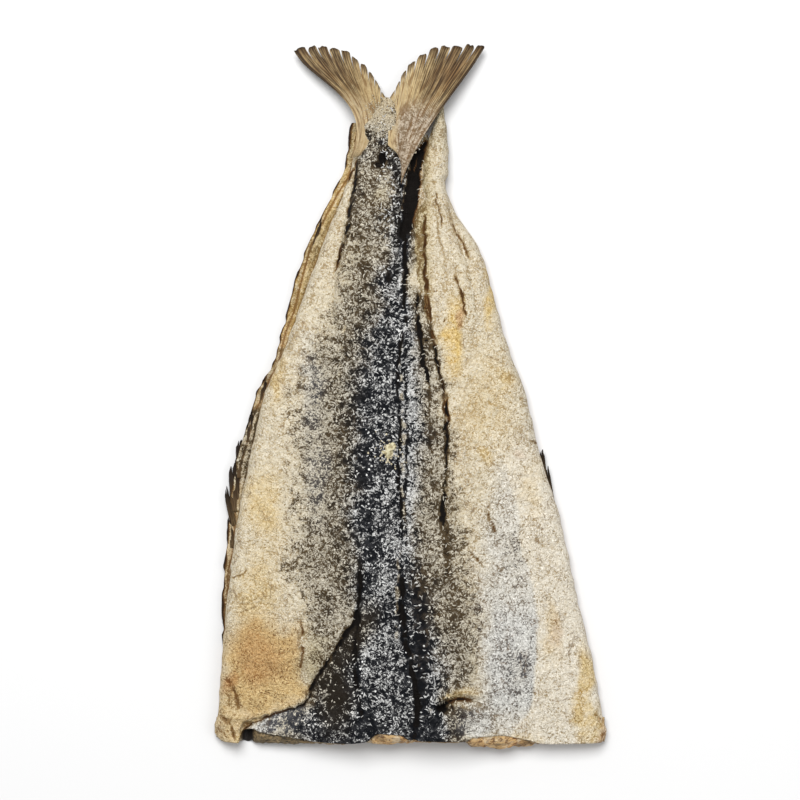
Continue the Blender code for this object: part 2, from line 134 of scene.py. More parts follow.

# Pits and lumps: place, half widths, depth (below 0 it is a lump) and how dark the painted shade in it is
PITS = (
    ((31, 41), (5.5, 5.0), 8.0, 1.0),
    ((-163, 12), (5.0, 8.0), 10.0, 1.0),
    ((34, 427), (1.4, 1.4), 1.0, 1.0),
    ((37, 423), (1.2, 1.0), 1.0, 1.0),
    ((16, 407), (2.4, 2.0), 1.4, 0.8),
    ((25, 456), (2.0, 1.4), 1.0, 0.7),
    ((-20, 470), (3.0, 6.0), 1.5, 0.8),
    ((-28, 590), (4.2, 7.5), 9.0, 1.2),
    ((-31, 583), (9.0, 4.5), 4.0, 0.6),
    ((-24, 163), (9.0, 7.0), -2.0, 0.0),
)

# The edge of the brown lobe, which laps over greyer skin below and to its right, and its height
LAP_EDGE = (
    (-114, 120), (-109, 92), (-110, 72), (-100, 60), (-105, 47), (-126, 40), (-143, 33), (-157, 26),
    (-166, 19), (-169, 6), (-170, -6),
)
LAP_DROP = 5.0

# The flesh side's arch: its half width as a share of the fish's, its height, where it ends and over
# how much of the length it fades out
ARCH_SHARE, ARCH_HEIGHT, ARCH_END, ARCH_FADE = 0.31, 10, 0.70 * LENGTH, 140

# How far along the skin bends to the neck cut, how fine the mesh is, and after how many steps the
# random relief repeats
NECK_REACH = 40
BODY_ROWS, BODY_COLUMNS, UNDER_COLUMNS = 322, 236, 46
LATTICE = 128


def curve(keys, cyclic=False):
    """A smooth curve through (place, value) keys: cubic pieces whose slopes overshoot no key."""
    places, values = np.array(sorted(keys), float).T
    steps = np.diff(places)
    slopes = np.diff(values) / steps
    product = slopes[1:] * slopes[:-1]
    total = np.where(product > 0, slopes[1:] + slopes[:-1], 1.0)
    inner = np.where(product > 0, 2 * product / total, 0.0)
    tangents = np.concatenate([slopes[:1], inner, slopes[-1:]])

    def value(at):
        at = np.clip(at, places[0], places[-1])
        i = np.clip(np.searchsorted(places, at) - 1, 0, len(steps) - 1)
        t = (at - places[i]) / steps[i]
        back = 1 - t
        ends = values[i] * (1 + 2 * t) * back**2 + values[i + 1] * t**2 * (3 - 2 * t)
        return ends + steps[i] * t * back * (tangents[i] * back - tangents[i + 1] * t)

    return value


def grain(x, y, size, seed):
    """Smooth random relief from -1 to 1: random values on a lattice of that size, blended between."""
    table = np.random.default_rng(seed).uniform(-1, 1, (LATTICE, LATTICE))
    u, v = np.asarray(x) / size + 1000, np.asarray(y) / size + 1000
    i, j = np.floor(u).astype(int), np.floor(v).astype(int)
    s, t = u - i, v - j
    s, t = s * s * (3 - 2 * s), t * t * (3 - 2 * t)
    i, j = i % (LATTICE - 1), j % (LATTICE - 1)
    low = table[i, j] * (1 - s) + table[i + 1, j] * s
    high = table[i, j + 1] * (1 - s) + table[i + 1, j + 1] * s
    return low * (1 - t) + high * t


def step(low, high, value):
    """0 below low, 1 above high and an S-shaped rise between them."""
    t = np.clip((value - low) / (high - low), 0, 1)
    return t * t * (3 - 2 * t)


def through(places, each=6):
    """Places along a smooth path through the given ones: a cubic between each two."""
    p = np.array(places, float)
    t = np.arange(len(p), dtype=float)
    fine = np.linspace(0, len(p) - 1, (len(p) - 1) * each + 1)
    return np.stack([curve(list(zip(t, p[:, 0])))(fine), curve(list(zip(t, p[:, 1])))(fine)], 1)


def path_distance(x, y, places):
    """Distance to a path, how far along it the nearest place is (0 to 1), and the side (+ is left)."""
    p = through(places)
    best, at, side = np.full(np.shape(x), 1e9), np.zeros(np.shape(x)), np.zeros(np.shape(x))
    for k in range(len(p) - 1):
        run = p[k + 1] - p[k]
        t = np.clip(((x - p[k][0]) * run[0] + (y - p[k][1]) * run[1]) / (run @ run), 0, 1)
        away_x, away_y = x - p[k][0] - run[0] * t, y - p[k][1] - run[1] * t
        distance = np.hypot(away_x, away_y)
        near = distance < best
        best = np.where(near, distance, best)
        at = np.where(near, (k + t) / (len(p) - 1), at)
        side = np.where(near, np.sign(run[0] * away_y - run[1] * away_x), side)
    return best, at, side


def line_strength(x, y, places, half_width, taper=0.12):
    """1 on a path, falling off as a bell to each side and to 0 at both of its ends."""
    p = np.array(places, float)
    low, high = p.min(0) - 4 * half_width, p.max(0) + 4 * half_width
    near = (x > low[0]) & (x < high[0]) & (y > low[1]) & (y < high[1])
    strength = np.zeros(np.shape(x))
    if near.any():
        distance, at, _ = path_distance(x[near], y[near], places)
        ends = np.clip(np.minimum(at, 1 - at) / taper, 0, 1)
        strength[near] = np.exp(-((distance / half_width) ** 2)) * (0.15 + 0.85 * ends)
    return strength


def spot(x, y, place, half_widths):
    """1 at a place, falling off as a bell over its half widths."""
    return np.exp(-(((x - place[0]) / half_widths[0]) ** 2) - ((y - place[1]) / half_widths[1]) ** 2)


def creasing(x, y):
    """Depth of all furrows, cracks, pits and ridges, the darkness (0 to 1) of the painted shade in them and
    the paleness (0 to 1) of the ridges, partly painted highlight.
    """
    patchiness = 0.75 + 0.6 * grain(x, y, 7, 45)
    x = x + 1.6 * grain(x, y, 11, 41) + 1.2 * grain(x, y, 3.6, 42)
    depth, dark, pale = np.zeros(np.shape(x)), np.zeros(np.shape(x)), np.zeros(np.shape(x))
    for places, deep, half_width, darkness in CREASES:
        strength = line_strength(x, y, places, half_width)
        depth = depth + deep * strength
        shown = strength * patchiness if half_width < 3 else strength
        dark = np.maximum(dark, darkness * np.clip(1.6 * shown, 0, 1))
        if deep < 0:
            broken = np.clip(0.7 + 1.3 * grain(x, y, 4, 63), 0, 1)
            pale = np.maximum(pale, strength * broken * np.clip(1.5 * patchiness - 0.25, 0, 1))
    for place, half_widths, deep, darkness in PITS:
        strength = spot(x, y, place, half_widths)
        depth = depth + deep * strength
        dark = np.maximum(dark, darkness * np.clip(1.6 * strength - 0.3, 0, 1))
    return depth, dark, pale


def from_lobe(x, y):
    """Distance outside the brown lobe's edge (below 0 inside it) and how far along the edge."""
    distance, at, side = path_distance(
        x + 1.5 * grain(x, y, 6, 47), y + 1.5 * grain(x, y, 5, 49), LAP_EDGE)
    return np.where(side > 0, distance, -distance), at


def lapping(x, y):
    """Depth below the brown lobe's edge, a thin painted shadow outside that edge and a pale rim inside, a
    painted highlight where the edge curls up.
    """
    near = (x < -60) & (y < 130)
    depth, shadow, rim = np.zeros(np.shape(x)), np.zeros(np.shape(x)), np.zeros(np.shape(x))
    if near.any():
        x, y = x[near], y[near]
        outside, at = from_lobe(x, y)
        fade = 0.45 + 0.55 * step(0.18, 0.42, at)
        drop = step(-1.0, 2.2, outside) * np.exp(-np.clip(outside, 0, None) / 38)
        rim[near] = np.exp(-(((outside + 2.4) / 2.2) ** 2)) * fade
        depth[near] = LAP_DROP * drop * fade - 1.2 * rim[near]
        shadow[near] = np.exp(-(((outside - 1.2) / 1.1) ** 2)) * fade
    return depth, shadow, rim


def wrinkles(x, y):
    """Relief of the dried skin: slow swells, then folds along the fish, then fine pebbling."""
    swell = 1.0 * grain(x, y, 55, 1) + 0.7 * grain(x, y, 24, 2)
    folds = 0.55 * grain(x, y * 0.35, 9, 3) + 0.35 * np.abs(grain(x, y * 0.5, 5.5, 4))
    return swell + folds + 0.5 * grain(x, y, 3.8, 5) + 0.3 * grain(x, y, 6, 6)


def body_top(x, y):
    """Height of the back: flanks rising to a crest in a bell, less furrows, plus wrinkles."""
    crest, flank = curve(BODY_CREST)(y), curve(BODY_FLANK)(y)
    off = (x - curve(CREST_LINE)(y)) / CREST_SPREAD
    height = flank + np.maximum(crest - flank, 0) * np.exp(-(off**2))
    crumpled = 1.6 * grain(x, y, 15, 43) + 1.2 * grain(x, y, 7, 44) - 1.2 * np.abs(grain(x, y, 10, 50))
    height = height + spot(x, y, (-150, 50), (56, 62)) * crumpled
    caked = 0.8 * np.exp(-(((x + 15) / 75) ** 2)) * grain(x, y, 7, 9)
    return height + wrinkles(x, y) + caked - creasing(x, y)[0] - lapping(x, y)[0]


def body_under(x, y):
    """Height of the flesh side: flat under both belly flaps, arched up between them, fibrous."""
    left, right = curve(BODY_LEFT)(y), curve(BODY_RIGHT)(y)
    reach = (x - (left + right) / 2) / (ARCH_SHARE * (right - left))
    arch = np.clip(1 - reach**2, 0, 1) * np.clip((ARCH_END - y) / ARCH_FADE, 0, 1)
    return arch * (ARCH_HEIGHT + 0.8 * grain(x, y * 0.3, 12, 8)) + 0.25 * step(0.2, 0.5, arch)


class Strip:
    """A long form between a left and a right edge: a top and an underside joined by round edges."""

    def __init__(self, left, right, top, under, lip, radius, ragged=0.8):
        self.left, self.right, self.top, self.under = curve(left), curve(right), top, under
        self.first, self.last = left[0][0], left[-1][0]
        self.lip, self.radius, self.ragged = lip, radius, ragged

    def edges(self, y):
        """Left edge, right edge and the radius of the round edge, with the edges a little uneven."""
        left = self.left(y) + self.ragged * grain(y, 0 * y, 7, 31)
        right = self.right(y) + self.ragged * grain(y, 0 * y, 8, 32)
        return left, right, np.minimum(self.radius, 0.47 * (right - left))

    def heights(self, x, y):
        """Top and underside: each leaves the edge's own height in a quarter round."""
        left, right, radius = self.edges(y)
        t = np.clip(np.minimum(x - left, right - x) / radius, 0, 1)
        rise = np.sqrt(t * (2 - t))
        top, under = self.top(x, y), self.under(x, y)
        edge = under + self.lip * (top - under)
        return edge + (top - edge) * rise, edge - (edge - under) * rise

    def grid(self, rows, columns, round_steps=7):
        """Places of the top's points: rows along, and columns that crowd into the round edges."""
        y = np.linspace(self.first, self.last, rows)[:, None]
        left, right, radius = self.edges(y)
        turn = 1 - np.cos(np.linspace(0, math.pi / 2, round_steps))
        flat = np.linspace(0, 1, columns + 2)[None, 1:-1]
        x = np.concatenate(
            [left + radius * turn, left + radius + (right - left - 2 * radius) * flat,
             right - radius * turn[::-1]], 1)
        return x, y + 0 * x


def closed_mesh(name, rings):
    """One object of closed forms: rings of points in millimetres, each joined to the next."""
    count, size = rings.shape[-3:-1]
    points = (rings.reshape(-1, 3) - (0, LENGTH / 2, 0)) / 1000
    start = np.arange(len(points) // (count * size))[:, None, None] * count * size
    a = (np.arange(count - 1)[:, None] * size + np.arange(size)).ravel()
    b = (np.arange(count - 1)[:, None] * size + (np.arange(size) + 1) % size).ravel()
    quads = np.stack([a, b, b + size, a + size], 1)
    ends = np.stack([np.arange(size)[::-1], np.arange((count - 1) * size, count * size)])
    faces = (start + quads).reshape(-1, 4).tolist() + (start + ends).reshape(-1, size).tolist()
    mesh = bpy.data.meshes.new(name)
    mesh.from_pydata(points.tolist(), [], faces)
    mesh.shade_smooth()
    made = bpy.data.objects.new(name, mesh)
    bpy.context.scene.collection.objects.link(made)
    return made


def strip_mesh(name, strip, rows, columns, under_columns, neck=None):
    """A strip as a closed mesh. With a neck curve, its first rows bend to end along that curve.

    A last ring, nearly flat at half height, closes that end in upright faces."""
    x, y = strip.grid(rows, columns)
    top = strip.heights(x, y)[0]
    across = np.linspace(1, 0, under_columns + 2)[None, 1:-1]
    under_x = x[:, :1] + (x[:, -1:] - x[:, :1]) * across
    under_y = y[:, :1] + 0 * under_x
    under = strip.heights(under_x, under_y)[1]
    rings = np.concatenate([np.stack([x, y, top], 2), np.stack([under_x, under_y, under], 2)], 1)
    if neck:
        pull = np.clip(1 - rings[..., 1] / NECK_REACH, 0, 1) ** 1.5
        rings[..., 1] += pull * neck(rings[..., 0])
        flat = rings[:1].copy()
        high, low = strip.heights(flat[..., 0], 0 * flat[..., 0])
        middle = (high + low) / 2
        flat[..., 2] = middle + 0.05 * (flat[..., 2] - middle)
        rings = np.concatenate([flat, rings])
    return closed_mesh(name, rings)


def lay_on(piece, values):
    """Gives each named number, one for each point of the mesh, to the mesh as an attribute."""
    for name, numbers in values.items():
        layer = piece.data.attributes.new(name, "FLOAT", "POINT")
        layer.data.foreach_set("value", np.asarray(numbers, np.float32).ravel())


def places_of(piece):
    """Across, along and height of each point of a mesh, in millimetres."""
    points = np.empty(len(piece.data.vertices) * 3, np.float32)
    piece.data.vertices.foreach_get("co", points)
    points = points.reshape(-1, 3).astype(float) * 1000
    return points[:, 0], points[:, 1] + LENGTH / 2, points[:, 2]


# How dark the skin is: for places along, where its darkness starts and is full on either side
DARK_LEFT_START = (
    (0, -164), (26, -152), (40, -130), (55, -112), (68, -108), (98, -112), (126, -116), (148, -126),
    (178, -138), (248, -140), (298, -136), (348, -135), (398, -114), (448, -90), (485, -72), (510, -66),
    (548, -64), (598, -58), (636, -50),
)
DARK_LEFT_FULL = (
    (0, -80), (40, -84), (55, -80), (68, -76), (98, -62), (126, -52), (148, -40), (198, -33),
    (248, -32), (298, -35), (348, -38), (398, -23), (448, -5), (498, -6), (548, -14), (598, -24),
    (636, -30),
)
DARK_RIGHT_FULL = (
    (0, 18), (48, 22), (98, 22), (148, 8), (198, -2), (248, -12), (298, -12), (348, -8), (398, -10),
    (448, -10), (548, -8), (598, -10), (636, -14),
)
DARK_RIGHT_START = (
    (0, 72), (48, 66), (98, 73), (148, 76), (198, 71), (248, 64), (298, 55), (348, 46), (398, 34),
    (448, 15), (548, 3), (598, 4), (636, 0),
)

# Places where that darkness fades, and places on the flank that are darker: share, place, half widths
FADED = (
    (0.24, (-88, 250), (26, 120)), (0.5, (46, 50), (18, 14)), (0.3, (16, 170), (24, 110)),
    (0.15, (-60, 328), (20, 40)),
)
DUSKY = ((0.18, (108, 84), (18, 40)), (0.2, (104, 190), (14, 40)))
FLAP_FADED = (0.5, (52, 44), (10, 6))

# The foot of the fold beside the brown lobe, with a dark, wet valley to its right, the pale rim of
# the flap by the neck, paler partly by its own colour and partly by painted highlight, and the lines
# along which most and least salt is caked
VALLEY_EDGE = ((-103, 54), (-94, 70), (-80, 90), (-66, 112), (-54, 130), (-50, 160))
FLAP_RIM = ((34, 47), (46, 55), (60, 57), (72, 54))
SALT_LINE = (
    (-14, 452), (-2, 400), (-2, 300), (-6, 240), (-20, 190), (-38, 140), (-42, 90), (-40, 50))
BARE_LINE = ((-46, 440), (-47, 330), (-45, 250), (-38, 190), (-50, 150))

# The grey, salt-caked zone on the right flank: its left and right edges, and how strong it is
GREY_LEFT = ((20, 58), (48, 70), (98, 74), (148, 72), (198, 74), (248, 80), (300, 86))
GREY_RIGHT = (
    (0, 96), (20, 108), (48, 125), (98, 129), (148, 127), (173, 121), (198, 113), (248, 109), (300, 92))
GREY_SHARE = (
    (0, 0.4), (24, 0.55), (50, 0.9), (120, 0.9), (160, 0.65), (230, 0.55), (270, 0.4), (305, 0.0))

# Coloured patches: share, place and half widths, and how sharp and how low the edge is if it differs
PATCHES = {
    "olive": (
        (1, (-86, 92), (26, 44)), (0.9, (-76, 60), (24, 50)), (0.55, (-68, 330), (22, 110)),
        (0.6, (-50, 470), (20, 60)), (0.4, (24, 260), (20, 130)), (0.9, (-30, 556), (13, 18)),
        (0.95, (-76, 186), (26, 56)), (0.65, (48, 110), (20, 80)), (0.4, (42, 220), (14, 60)),
        (0.3, (52, 50), (22, 26)), (0.8, (4, 500), (7, 44)), (0.8, (27, 635), (6, 16)),
    ),
    "grey": (
        (0.7, (-100, 355), (14, 55)), (0.6, (-92, 268), (14, 46)), (0.8, (66, 28), (26, 18)),
    ),
    "yellow": (
        (1, (43, 408), (12, 44)), (1, (77, 480), (6, 14)), (0.9, (84, 448), (6, 30)),
        (0.6, (95, 366), (15, 15)), (0.6, (72, 290), (8, 12)), (1, (174, 54), (10, 40), 2.4),
        (0.28, (78, 346), (34, 60)), (0.55, (-146, 240), (20, 46)), (0.5, (-150, 150), (22, 60)),
        (1, (191, 14), (12, 22), 2.4), (0.5, (142, 120), (8, 34)), (0.6, (-132, 372), (8, 24)),
        (0.45, (-176, 30), (14, 30)), (0.4, (124, 262), (10, 30)),
    ),
    "stain": (
        (0.55, (-148, 92), (30, 28)), (0.7, (-178, 62), (9, 12)), (0.6, (50, 430), (4, 6)),
        (0.3, (144, 118), (6, 22)), (0.3, (112, 292), (6, 5)), (0.7, (192, 14), (7, 16), 2.0),
    ),
}
BROWN_PATCH = ((-142, 78), (50, 50), 2.4, 0.35)
GREY_UNDER_LOBE = ((-122, 24), (48, 15), 2.4, 0.4)


def skin_zones(x, y, z):
    """What the skin's colour depends on, painted shade and highlights among them, each from 0 to 1 at a
    place.
    """
    wobble_x = x + 7 * grain(x, y, 26, 11) + 3 * grain(x, y, 9, 12)
    wobble_y = y + 9 * grain(x, y, 26, 13) + 3 * grain(x, y, 9, 14)

    def patch(place, half_widths, sharp=1.6, keep=0.3):
        return np.clip(sharp * spot(wobble_x, wobble_y, place, half_widths) - keep, 0, 1)

    def patches(zone):
        return np.maximum.reduce([share * patch(*where) for share, *where in PATCHES[zone]])

    left_start, right_start = curve(DARK_LEFT_START)(y), curve(DARK_RIGHT_START)(y)
    left = (wobble_x - left_start) / (curve(DARK_LEFT_FULL)(y) - left_start)
    right = (right_start - wobble_x) / (right_start - curve(DARK_RIGHT_FULL)(y))
    dark = np.clip(np.minimum(left, right), 0, 1)
    distance, at, side = path_distance(
        x + 2.5 * grain(x, y, 8, 61), y + 2.5 * grain(x, y, 8, 62), VALLEY_EDGE)
    ends = step(0, 0.1, at) * step(1, 0.8, at)
    fold = step(1, -2, -side * distance) * step(32, 12, distance) * ends
    valley = step(-1, 2, -side * distance) * step(30, 12, distance) * ends
    dark = np.maximum(dark * (1 - 0.55 * fold), 0.8 * valley)
    _, crease_shade, pale = creasing(x, y)
    _, shadow, rim = lapping(x, y)
    # Raised ridges are painted paler: partly paler skin, partly painted highlight.
    dark = dark * (1 - 0.65 * pale)
    for share, place, half_widths in FADED:
        dark = dark * (1 - share * spot(x, y, place, half_widths))
    # The flap's rim by the neck is painted paler and yellower: partly its own colour, partly painted
    # highlight on the ridge.
    flap_rim = line_strength(x, y, FLAP_RIM, half_width=5.0)
    dark = dark * (1 - 0.7 * flap_rim)
    for share, place, half_widths in DUSKY:
        dark = np.maximum(dark, share * spot(wobble_x, wobble_y, place, half_widths))
    dark = dark * (1 - FLAP_FADED[0] * spot(x, y, *FLAP_FADED[1:]))

    inside = step(1.2, -1.2, from_lobe(x, y)[0])
    grey_flank = curve(GREY_SHARE)(y) * step(-18, 14, wobble_x - curve(GREY_LEFT)(y) + 3) * step(
        -2, 5, curve(GREY_RIGHT)(y) - x - 0.4 * (wobble_x - x)) * step(0, 6, y - 2)
    brown = patch(*BROWN_PATCH) * np.where(y < 116, inside, 1)
    neck_edge = 0.55 * step(20, 8, y) * step(40, 60, x) * step(140, 125, x)
    return {
        "dark": dark,
        "olive": np.maximum(patches("olive"), 0.9 * valley),
        "grey": np.maximum.reduce([
            grey_flank, patches("grey"), 0.95 * patch(*GREY_UNDER_LOBE) * (1 - inside),
            0.2 * step(80, 120, x)]),
        # The brown lobe's curled-up rim is painted paler and yellower, a painted highlight.
        "brown": np.maximum(brown, 0.6 * np.where((y < 44) & (x < -120), inside, 0)) * (1 - 0.5 * rim),
        "yellow": np.maximum.reduce([
            patches("yellow"), neck_edge, 0.7 * pale * step(0, 30, x), 0.3 * pale, 0.7 * rim,
            0.6 * flap_rim]),
        "stain": patches("stain"),
        # Painted shade in furrows, pits and holes, and the painted shadow outside the brown lobe's edge.
        "crease_shade": np.minimum(np.maximum(crease_shade, 0.9 * shadow), 1),
        "salt": line_strength(x, y, SALT_LINE, half_width=15.0)
        - 0.7 * line_strength(x, y, BARE_LINE, half_width=10.0),
        "flesh": step(2.5, 0.4, z),
        # Paler cream on the lower right flank.
        "paler_lower_right": step(62, 104, wobble_x) * step(330, 280, wobble_y),
    }


SURFACE_SHARE = 0.86


def tone(red, green, blue):
    """A screen colour from 0 to 255 as the linear colour that a shader takes, a share darker
    because the light shows every surface that much brighter."""
    share = np.array((red, green, blue), float) / 255
    linear = np.where(share <= 0.04045, share / 12.92, ((share + 0.055) / 1.055) ** 2.4)
    return (*(SURFACE_SHARE * linear).tolist(), 1.0)


class Finish:
    """Builds one material: each call adds a node and returns its output."""

    def __init__(self, name, roughness, specular=0.35):
        self.material = bpy.data.materials.new(name)
        self.material.use_nodes = True
        self.nodes, self.links = self.material.node_tree.nodes, self.material.node_tree.links
        self.shader = self.nodes["Principled BSDF"]
        self.shader.inputs["Roughness"].default_value = roughness
        self.shader.inputs["Specular IOR Level"].default_value = specular
        self.places = self.nodes.new("ShaderNodeTexCoord").outputs["Object"]

    def put(self, socket, value):
        if isinstance(value, bpy.types.NodeSocket):
            self.links.new(value, socket)
        else:
            socket.default_value = value

    def attribute(self, name):
        node = self.nodes.new("ShaderNodeAttribute")
        node.attribute_name = name
        return node.outputs["Fac"]

    def stretched(self, size, stretch=(1, 1, 1)):
        """Places in sizes of so many millimetres."""
        node = self.nodes.new("ShaderNodeMapping")
        node.inputs["Scale"].default_value = [1000 / size * s for s in stretch]
        self.links.new(self.places, node.inputs["Vector"])
        return node.outputs["Vector"]

    def noise_at(self, places, detail, roughness, distortion):
        """Noise whose bumps are about 1 across in those places."""
        node = self.nodes.new("ShaderNodeTexNoise")
        for socket, value in (("Vector", places), ("Scale", 1.0), ("Detail", detail),
                              ("Roughness", roughness), ("Distortion", distortion)):
            self.put(node.inputs[socket], value)
        return node.outputs["Fac"]

    def noise(self, size, detail=2.0, roughness=0.55, distortion=0.0, stretch=(1, 1, 1)):
        """Noise whose bumps are about size millimetres across."""
        return self.noise_at(self.stretched(size, stretch), detail, roughness, distortion)

    def math(self, operation, a, b=0.0, clamp=False):
        node = self.nodes.new("ShaderNodeMath")
        node.operation, node.use_clamp = operation, clamp
        self.put(node.inputs[0], a)
        self.put(node.inputs[1], b)
        return node.outputs[0]

    def times(self, a, b, clamp=False):
        return self.math("MULTIPLY", a, b, clamp)

    def plus(self, first, *others):
        for other in others:
            first = self.math("ADD", first, other)
        return first

    def swing(self, value, reach):
        """A noise as a number on both sides of 0, times its reach."""
        return self.times(self.math("SUBTRACT", value, 0.5), reach)

    def ramp(self, value, low, high, to_low=0.0, to_high=1.0):
        node = self.nodes.new("ShaderNodeMapRange")
        node.interpolation_type = "SMOOTHSTEP"
        for socket, number in zip(node.inputs[:5], (value, low, high, to_low, to_high)):
            self.put(socket, number)
        return node.outputs["Result"]

    def blend(self, share, one, other):
        """A colour: one where share is 0, the other where it is 1. Each is a tone or an output."""
        node = self.nodes.new("ShaderNodeMix")
        node.data_type = "RGBA"
        self.put(node.inputs["Factor"], share)
        for socket, colour in (("A", one), ("B", other)):
            self.put(node.inputs[socket], tone(*colour) if isinstance(colour, tuple) else colour)
        return node.outputs["Result"]

    def over(self, colour, *layers):
        """A colour under layers, each a share and a colour of its own."""
        for share, layer in layers:
            colour = self.blend(share, colour, layer)
        return colour

    def bump(self, height, strength, distance, normal=None):
        node = self.nodes.new("ShaderNodeBump")
        node.inputs["Strength"].default_value = strength
        node.inputs["Distance"].default_value = distance
        self.put(node.inputs["Height"], height)
        if normal:
            self.links.new(normal, node.inputs["Normal"])
        return node.outputs["Normal"]

    def finish(self, colour, normal=None):
        self.links.new(colour, self.shader.inputs["Base Color"])
        if normal:
            self.links.new(normal, self.shader.inputs["Normal"])
        return self.material


def light_tone(f, share):
    """Colour of salt and raised skin: from cream on the flanks to grey white on the back."""
    dark, olive, patches = f.attribute("dark"), f.attribute("olive"), f.noise(15, 3.0, 0.6, 0.4)
    yellow = f.times(f.attribute("yellow"), f.ramp(patches, 0.3, 0.6, 0.35, 1.0))
    salty = f.over(
        f.blend(share, (104, 102, 98), (242, 242, 240)),
        (f.times(olive, 0.7), f.blend(share, (104, 92, 68), (204, 192, 164))))
    return f.over(
        f.blend(share, (204, 187, 152), (238, 230, 211)),
        (f.attribute("paler_lower_right"), f.blend(share, (218, 203, 174), (247, 239, 222))),
        (yellow, f.blend(share, (206, 170, 96), (243, 217, 152))),
        (f.attribute("brown"), f.blend(share, (180, 145, 90), (230, 204, 152))),
        (f.attribute("stain"), f.blend(share, (150, 100, 52), (206, 158, 102))),
        (f.times(olive, 0.85), f.blend(share, (140, 124, 86), (206, 194, 160))),
        (f.attribute("grey"), f.blend(share, (170, 170, 166), (244, 243, 238))),
        (f.ramp(dark, 0.08, 0.4), f.blend(share, (138, 126, 102), (220, 213, 196))),
        (f.ramp(dark, 0.45, 0.85), salty))


def salted_skin():
    """Dried skin: cream on the flanks, black on the back, with pits and fine wrinkles.

    Raised skin and pits both change from flank to back; the share of pits grows with darkness. Pits on
    the flanks are a darker tan, partly the skin's own and partly painted shade in the low places of the
    fine relief; furrows, pits and holes get painted shade, near black on the back."""
    f = Finish("salted_skin", roughness=0.7, specular=0.12)
    dark, grey, crease_shade, olive = (f.attribute(name) for name in ("dark", "grey", "crease_shade", "olive"))
    curls = f.noise(4.2, 3.0, 0.6, 1.6)
    fine = f.noise(1.7, 2.0, 0.6, 1.0)
    patches = f.noise(15, 3.0, 0.6, 0.4)
    clouds = f.noise(55, 2.0, 0.5)
    spread = f.plus(f.swing(f.plus(f.times(curls, 0.6), f.times(fine, 0.4)), 3.6), 0.5)
    clumps = f.swing(f.noise(7, 2.0, 0.5, 0.8), 0.7)
    patchy = f.plus(f.swing(patches, 0.75), clumps)
    patchy_dark = f.times(f.plus(dark, patchy), f.ramp(dark, 0.0, 0.15), clamp=True)
    cover = f.plus(0.33, f.times(patchy_dark, 0.52), patchy, f.swing(clouds, 0.5))
    for zone, more in (
            ("grey", 0.12), ("crease_shade", 1.1), ("olive", 0.11), ("brown", -0.08), ("paler_lower_right", -0.1),
            ("salt", -0.14)):
        cover = f.plus(cover, f.times(f.attribute(zone), more))
    # Pits take the deep colours: the skin's own black on the back, and on the flanks a darker tan that is
    # partly the skin's own and partly painted shade in the low places of the relief.
    pits = f.ramp(f.math("SUBTRACT", cover, spread), -0.2, 0.25)

    light = light_tone(f, f.ramp(fine, 0.3, 0.7))
    black = f.over(
        f.blend(f.ramp(clumps, -0.1, 0.08), (44, 45, 48), (12, 15, 20)),
        (f.times(olive, 0.8), (44, 36, 24)))
    deep = f.over(
        f.blend(f.ramp(patches, 0.35, 0.7), (164, 141, 100), (190, 169, 132)),
        (f.times(f.attribute("yellow"), 0.9), (186, 150, 78)),
        (f.attribute("brown"), (124, 88, 46)),
        (f.attribute("stain"), (128, 78, 38)),
        (f.times(olive, 0.8), (78, 64, 40)),
        (f.ramp(patchy_dark, 0.0, 0.35), (80, 66, 45)),
        (f.times(grey, 0.9), (74, 77, 84)),
        (f.ramp(patchy_dark, 0.35, 0.85), black))
    colour = f.blend(pits, light, deep)
    for size, share in ((21, 0.55), (9, 0.45), (4.5, 0.4)):
        lines = f.math("ABSOLUTE", f.math("SUBTRACT", f.noise(size, 2.0, 0.5, 1.2, (1, 0.6, 1)), 0.5))
        shown = f.times(f.ramp(lines, 0.016, 0.004, 0.0, share), f.ramp(patches, 0.45, 0.6))
        colour = f.blend(f.times(shown, f.ramp(dark, 0.3, 0.05)), colour, (112, 84, 48))
    # Painted shade in furrows, pits and holes, and the painted shadow outside the brown lobe's edge: brown,
    # near black where deepest and on the dark back.
    ragged = f.plus(crease_shade, f.swing(fine, 0.9))
    black_crease_shade = f.math("MAXIMUM", f.ramp(crease_shade, 0.6, 0.95), f.ramp(dark, 0.05, 0.3))
    meat = f.blend(f.noise(3.0, 3.0, 0.6, 0.5, (1, 0.2, 1)), (176, 132, 82), (222, 190, 138))
    colour = f.over(
        colour, (f.ramp(ragged, 0.34, 0.66), f.blend(black_crease_shade, (98, 66, 34), (18, 14, 11))),
        (f.attribute("flesh"), meat))
    return f.finish(colour, f.bump(patches, 0.35, 0.002, f.bump(spread, 0.8, 0.0018)))


skin = salted_skin()
neck_end = curve(SKIN_END)
body_strip = Strip(BODY_LEFT, BODY_RIGHT, body_top, body_under, lip=0.42, radius=14.0)
body = strip_mesh("body", body_strip, BODY_ROWS, BODY_COLUMNS, UNDER_COLUMNS, neck_end)
body_x, body_y, body_z = places_of(body)
body_zones = skin_zones(body_x, body_y, body_z)
body_high, body_low = body_strip.heights(body_x, body_y)
share_up = (body_z - body_low) / (body_high - body_low + 0.01)
body_zones["flesh"] = step(0.55, 0.35, share_up) * step(0, 3, body_z - 0.4) + step(2.5, 0.4, body_z)
lay_on(body, body_zones)
body.data.materials.append(skin)
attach(body, "root")
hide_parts("salt_cod")


